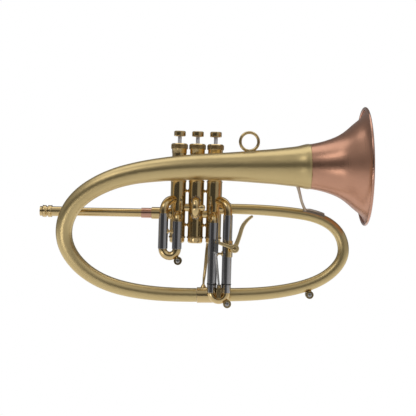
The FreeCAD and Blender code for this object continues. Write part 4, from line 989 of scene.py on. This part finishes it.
# %% Pearl discs
PEARL_RADIUS = 5.0 * MM
PEARL_SEAT = 0.6 * MM
PEARL_EDGE = 0.28 * MM
PEARL_DOME = 0.26 * MM
for number in (1, 2, 3):
    button = f"finger_button_{number}"
    axis_middle = middle(f"piston_{number}")
    top = span_along(button, VALVE_UP, axis_middle)[1]
    dome = [(0.0, top - PEARL_SEAT), (PEARL_RADIUS, top - PEARL_SEAT), (PEARL_RADIUS, top - PEARL_EDGE)]
    for step in range(1, 7):
        share = step / 6
        rise = PEARL_DOME * math.sin(share * math.pi / 2)
        dome.append((PEARL_RADIUS * (1 - share), top - PEARL_EDGE + rise))
    pearl = spun(f"pearl_{number}", dome, axis_middle, VALVE_UP, 64)
    pearl.data.materials.append(PEARL)
    finish_piece(pearl, BODY_OF[button])
print("pearl discs", PEARL_RADIUS / MM, "mm in radius")

# %% [markdown]
# ## The seam between copper and brass
#
# The copper flare is hard-soldered to the brass stem.  The two sheets are lapped, and the join is never a
# perfect line: the solder leaves a slightly ragged edge with the odd tooth.  A thin brass-coloured
# feather edge, lying on the first millimetre of copper, shows it.

# %% Feathered seam
SEAM_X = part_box("bell_stem")[1].x
flare_points = points_of("bell_flare")
near_seam = flare_points[np.abs(flare_points[:, 0] - SEAM_X) < 1.2 * MM]
bell_centre = middle("bell_rim_wire")
seam_radius = np.hypot(near_seam[:, 1] - bell_centre.y, near_seam[:, 2] - bell_centre.z).max()
further = flare_points[np.abs(flare_points[:, 0] - SEAM_X - 6 * MM) < 2.5 * MM]
further_radius = np.hypot(further[:, 1] - bell_centre.y, further[:, 2] - bell_centre.z).max()
seam_slope = (further_radius - seam_radius) / (6 * MM)
chance = np.random.default_rng(4)
SEAM_STEPS = 360
SEAM_LIFT = 0.05 * MM
SEAM_TEETH = (22, 118, 205, 268, 331)
ragged = np.clip(chance.normal(0.45, 0.16, SEAM_STEPS), 0.1, 0.9) * MM
for tooth in SEAM_TEETH:
    ragged[tooth - 3:tooth + 4] += np.array([0.2, 0.5, 0.9, 1.0, 0.8, 0.5, 0.2]) * MM
seam = bmesh.new()
seam_rows = []
for step in range(SEAM_STEPS):
    turn = math.tau * step / SEAM_STEPS
    row = []
    tip = ragged[step]
    for reach, lift in ((-0.15 * MM, 0.0), (0.0, SEAM_LIFT), (tip * 0.7, SEAM_LIFT), (tip, -SEAM_LIFT)):
        radius = seam_radius + lift + max(reach, 0) * seam_slope
        row.append(seam.verts.new((SEAM_X + reach, bell_centre.y + radius * math.cos(turn),
                                   bell_centre.z + radius * math.sin(turn))))
    seam_rows.append(row)
for step in range(SEAM_STEPS):
    here, beyond = seam_rows[step], seam_rows[(step + 1) % SEAM_STEPS]
    for index in range(4):
        after = (index + 1) % 4
        seam.faces.new((here[index], here[after], beyond[after], beyond[index]))
bmesh.ops.recalc_face_normals(seam, faces=seam.faces)
seam_mesh = bpy.data.meshes.new("solder_seam")
seam.to_mesh(seam_mesh)
seam.free()
seam_mesh.shade_smooth()
seam_brush = np.array([point.co for point in seam_mesh.vertices])
seam_map = seam_mesh.attributes.new("tube_map", "FLOAT_VECTOR", "POINT")
seam_map.data.foreach_set("vector", along_a_bow(LEFT_BOW, -1)(seam_brush).astype(np.float32).ravel())
seam_mesh.materials.append(METALS["satin_brass"])
seam_piece = scene_object("solder_seam", seam_mesh)
finish_piece(seam_piece, "horn")
print("seam at X", round(SEAM_X, 4), "radius", round(seam_radius / MM, 2), "mm, slope",
      round(seam_slope, 3))

# %% [markdown]
# ## The studio
#
# Polished metal shows the room more than itself, so the room is designed first.  Light comes from
# above and from the pale floor, most from the floor just behind the horn.  The wall is dimmed, so that
# tubes keep their outlines, and the side that the camera looks from is darker.  The floor and wall are
# one seamless sweep.

# %% Floor and wall in one sweep
SWEEP_FLOOR = CAD_BOX[0].z - 0.30
SWEEP_BACK = 1.6
SWEEP_BEND = 0.7
SWEEP_FRONT = -3.0
SWEEP_TOP = 3.2
SWEEP_HALF_WIDTH = 5.0
BEND_STEPS = 16
WALL_DIM_START = 0.8
WALL_LEFT_OVER = 0.25


def pale_paper(name, tone, front_glow, back_glow):
    """Matt white paper.  It glows a little from within, most just behind the horn, and fades towards the
    wall.  It looks plain white where it is seen directly."""
    made = bpy.data.materials.new(name)
    made.use_nodes = True
    tree = made.node_tree
    shader = tree.nodes["Principled BSDF"]
    spot = node(tree, "ShaderNodeTexCoord")
    fibre = node(tree, "ShaderNodeTexNoise", Scale=60.0, Detail=5.0)
    wire(tree, spot.outputs["Object"], fibre.inputs["Vector"])
    shade = node(tree, "ShaderNodeMapRange", To_Min=tone - 0.01, To_Max=tone)
    wire(tree, fibre.outputs["Fac"], shade.inputs["Value"])
    shader.inputs["Roughness"].default_value = 0.95
    split = node(tree, "ShaderNodeSeparateXYZ")
    wire(tree, spot.outputs["Object"], split.inputs[0])
    glow = smooth_range(tree, split.outputs["Y"], -0.9, 0.5, front_glow, back_glow)
    falling = smooth_range(tree, split.outputs["Y"], WALL_DIM_START, SWEEP_BACK, 1.0, WALL_LEFT_OVER)
    dimmed = maths(tree, "MULTIPLY", shade.outputs["Result"], falling)
    wire(tree, dimmed, shader.inputs["Base Color"])
    glowing = maths(tree, "MULTIPLY", glow, falling)
    wire(tree, glowing, shader.inputs["Emission Strength"])
    shader.inputs["Emission Color"].default_value = (1, 1, 1, 1)
    seen = node(tree, "ShaderNodeLightPath")
    white = node(tree, "ShaderNodeEmission")
    white.inputs["Color"].default_value = (1, 1, 1, 1)
    choice = node(tree, "ShaderNodeMixShader")
    wire(tree, seen.outputs["Is Camera Ray"], choice.inputs[0])
    wire(tree, shader.outputs[0], choice.inputs[1])
    wire(tree, white.outputs[0], choice.inputs[2])
    wire(tree, choice.outputs[0], tree.nodes["Material Output"].inputs["Surface"])
    return made


def make_sweep():
    """A strip of paper that runs along the floor and curves up into the wall."""
    profile = [(SWEEP_FRONT, SWEEP_FLOOR), (SWEEP_BACK - SWEEP_BEND, SWEEP_FLOOR)]
    for step in range(1, BEND_STEPS + 1):
        turn = math.radians(90 * step / BEND_STEPS)
        profile.append((SWEEP_BACK - SWEEP_BEND + SWEEP_BEND * math.sin(turn),
                        SWEEP_FLOOR + SWEEP_BEND * (1 - math.cos(turn))))
    profile.append((SWEEP_BACK, SWEEP_TOP))
    paper = bmesh.new()
    rows = []
    for y, z in profile:
        rows.append([paper.verts.new((side * SWEEP_HALF_WIDTH, y, z)) for side in (-1, 1)])
    for first, second in zip(rows, rows[1:]):
        paper.faces.new((first[0], first[1], second[1], second[0]))
    mesh = bpy.data.meshes.new("paper_sweep")
    paper.to_mesh(mesh)
    paper.free()
    mesh.shade_smooth()
    mesh.materials.append(pale_paper("pale_paper", 0.9, 0.04, 0.42))
    made = scene_object("paper_sweep", mesh)
    return made


make_sweep()
print("floor at Z", round(SWEEP_FLOOR, 3))

# %% Lamps and the dim world
def soft_lamp(name, place, target, size, power, colour=(1, 1, 1)):
    """A square softbox that faces its target."""
    lamp = bpy.data.lights.new(name, "AREA")
    lamp.shape = "RECTANGLE"
    lamp.size, lamp.size_y = size
    lamp.energy = power
    lamp.color = colour
    made = bpy.data.objects.new(name, lamp)
    made.location = place
    made.rotation_euler = (Vector(target) - Vector(place)).to_track_quat("-Z", "Y").to_euler()
    bpy.context.scene.collection.objects.link(made)
    return made


def make_room():
    """Light from the room: bright overhead, dim at eye level, plain white where it is seen directly."""
    world = bpy.data.worlds.new("room")
    world.use_nodes = True
    tree = world.node_tree
    background = tree.nodes["Background"]
    spot = node(tree, "ShaderNodeTexCoord")
    split = node(tree, "ShaderNodeSeparateXYZ")
    wire(tree, spot.outputs["Generated"], split.inputs[0])
    overhead = smooth_range(tree, split.outputs["Z"], 0.10, 0.75, 0.06, 0.42)
    right = smooth_range(tree, split.outputs["X"], 0.15, 0.40, 0.0, 0.26)
    left = smooth_range(tree, split.outputs["X"], -0.80, -0.95, 0.0, 0.15)
    height = maths(tree, "ADD", overhead, maths(tree, "ADD", right, left))
    seen = node(tree, "ShaderNodeLightPath")
    choice = node(tree, "ShaderNodeMix", data_type="FLOAT")
    wire(tree, seen.outputs["Is Camera Ray"], choice.inputs[0])
    wire(tree, height, choice.inputs[2])
    choice.inputs[3].default_value = 1.0
    background.inputs["Color"].default_value = (1, 1, 1, 1)
    wire(tree, choice.outputs[0], background.inputs["Strength"])
    bpy.context.scene.world = world
    return world


HORN_MIDDLE = (CAD_BOX[0] + CAD_BOX[1]) / 2
soft_lamp("top_softbox", (0.2, 0.1, 1.5), HORN_MIDDLE, (2.4, 1.0), 5.5)
soft_lamp("front_softbox", (-0.7, -1.1, 1.3), HORN_MIDDLE, (1.1, 0.6), 2.6, (1.0, 0.98, 0.95))
soft_lamp("low_softbox", (-0.4, -0.85, -0.34), HORN_MIDDLE, (0.5, 0.12), 0.5, (1.0, 0.97, 0.93))
make_room()

# %% [markdown]
# ## The camera
#
# The horn is seen square from its player's right side, from far enough away that the near slides don't
# swell.  The camera looks straight along +Y at the middle of the horn's length.

# %% Camera
LENS_MM = 90
CAMERA_PLACE = (0.2196, -1.362, 0.00384)
camera_data = bpy.data.cameras.new("camera")
camera_data.lens = LENS_MM
camera_data.sensor_width = 36
camera = bpy.data.objects.new("camera", camera_data)
camera.location = CAMERA_PLACE
camera.rotation_euler = (math.radians(90), 0, 0)
bpy.context.scene.collection.objects.link(camera)
bpy.context.scene.camera = camera
bpy.context.scene.view_settings.view_transform = "Standard"
print("camera", [round(value, 3) for value in camera.location])
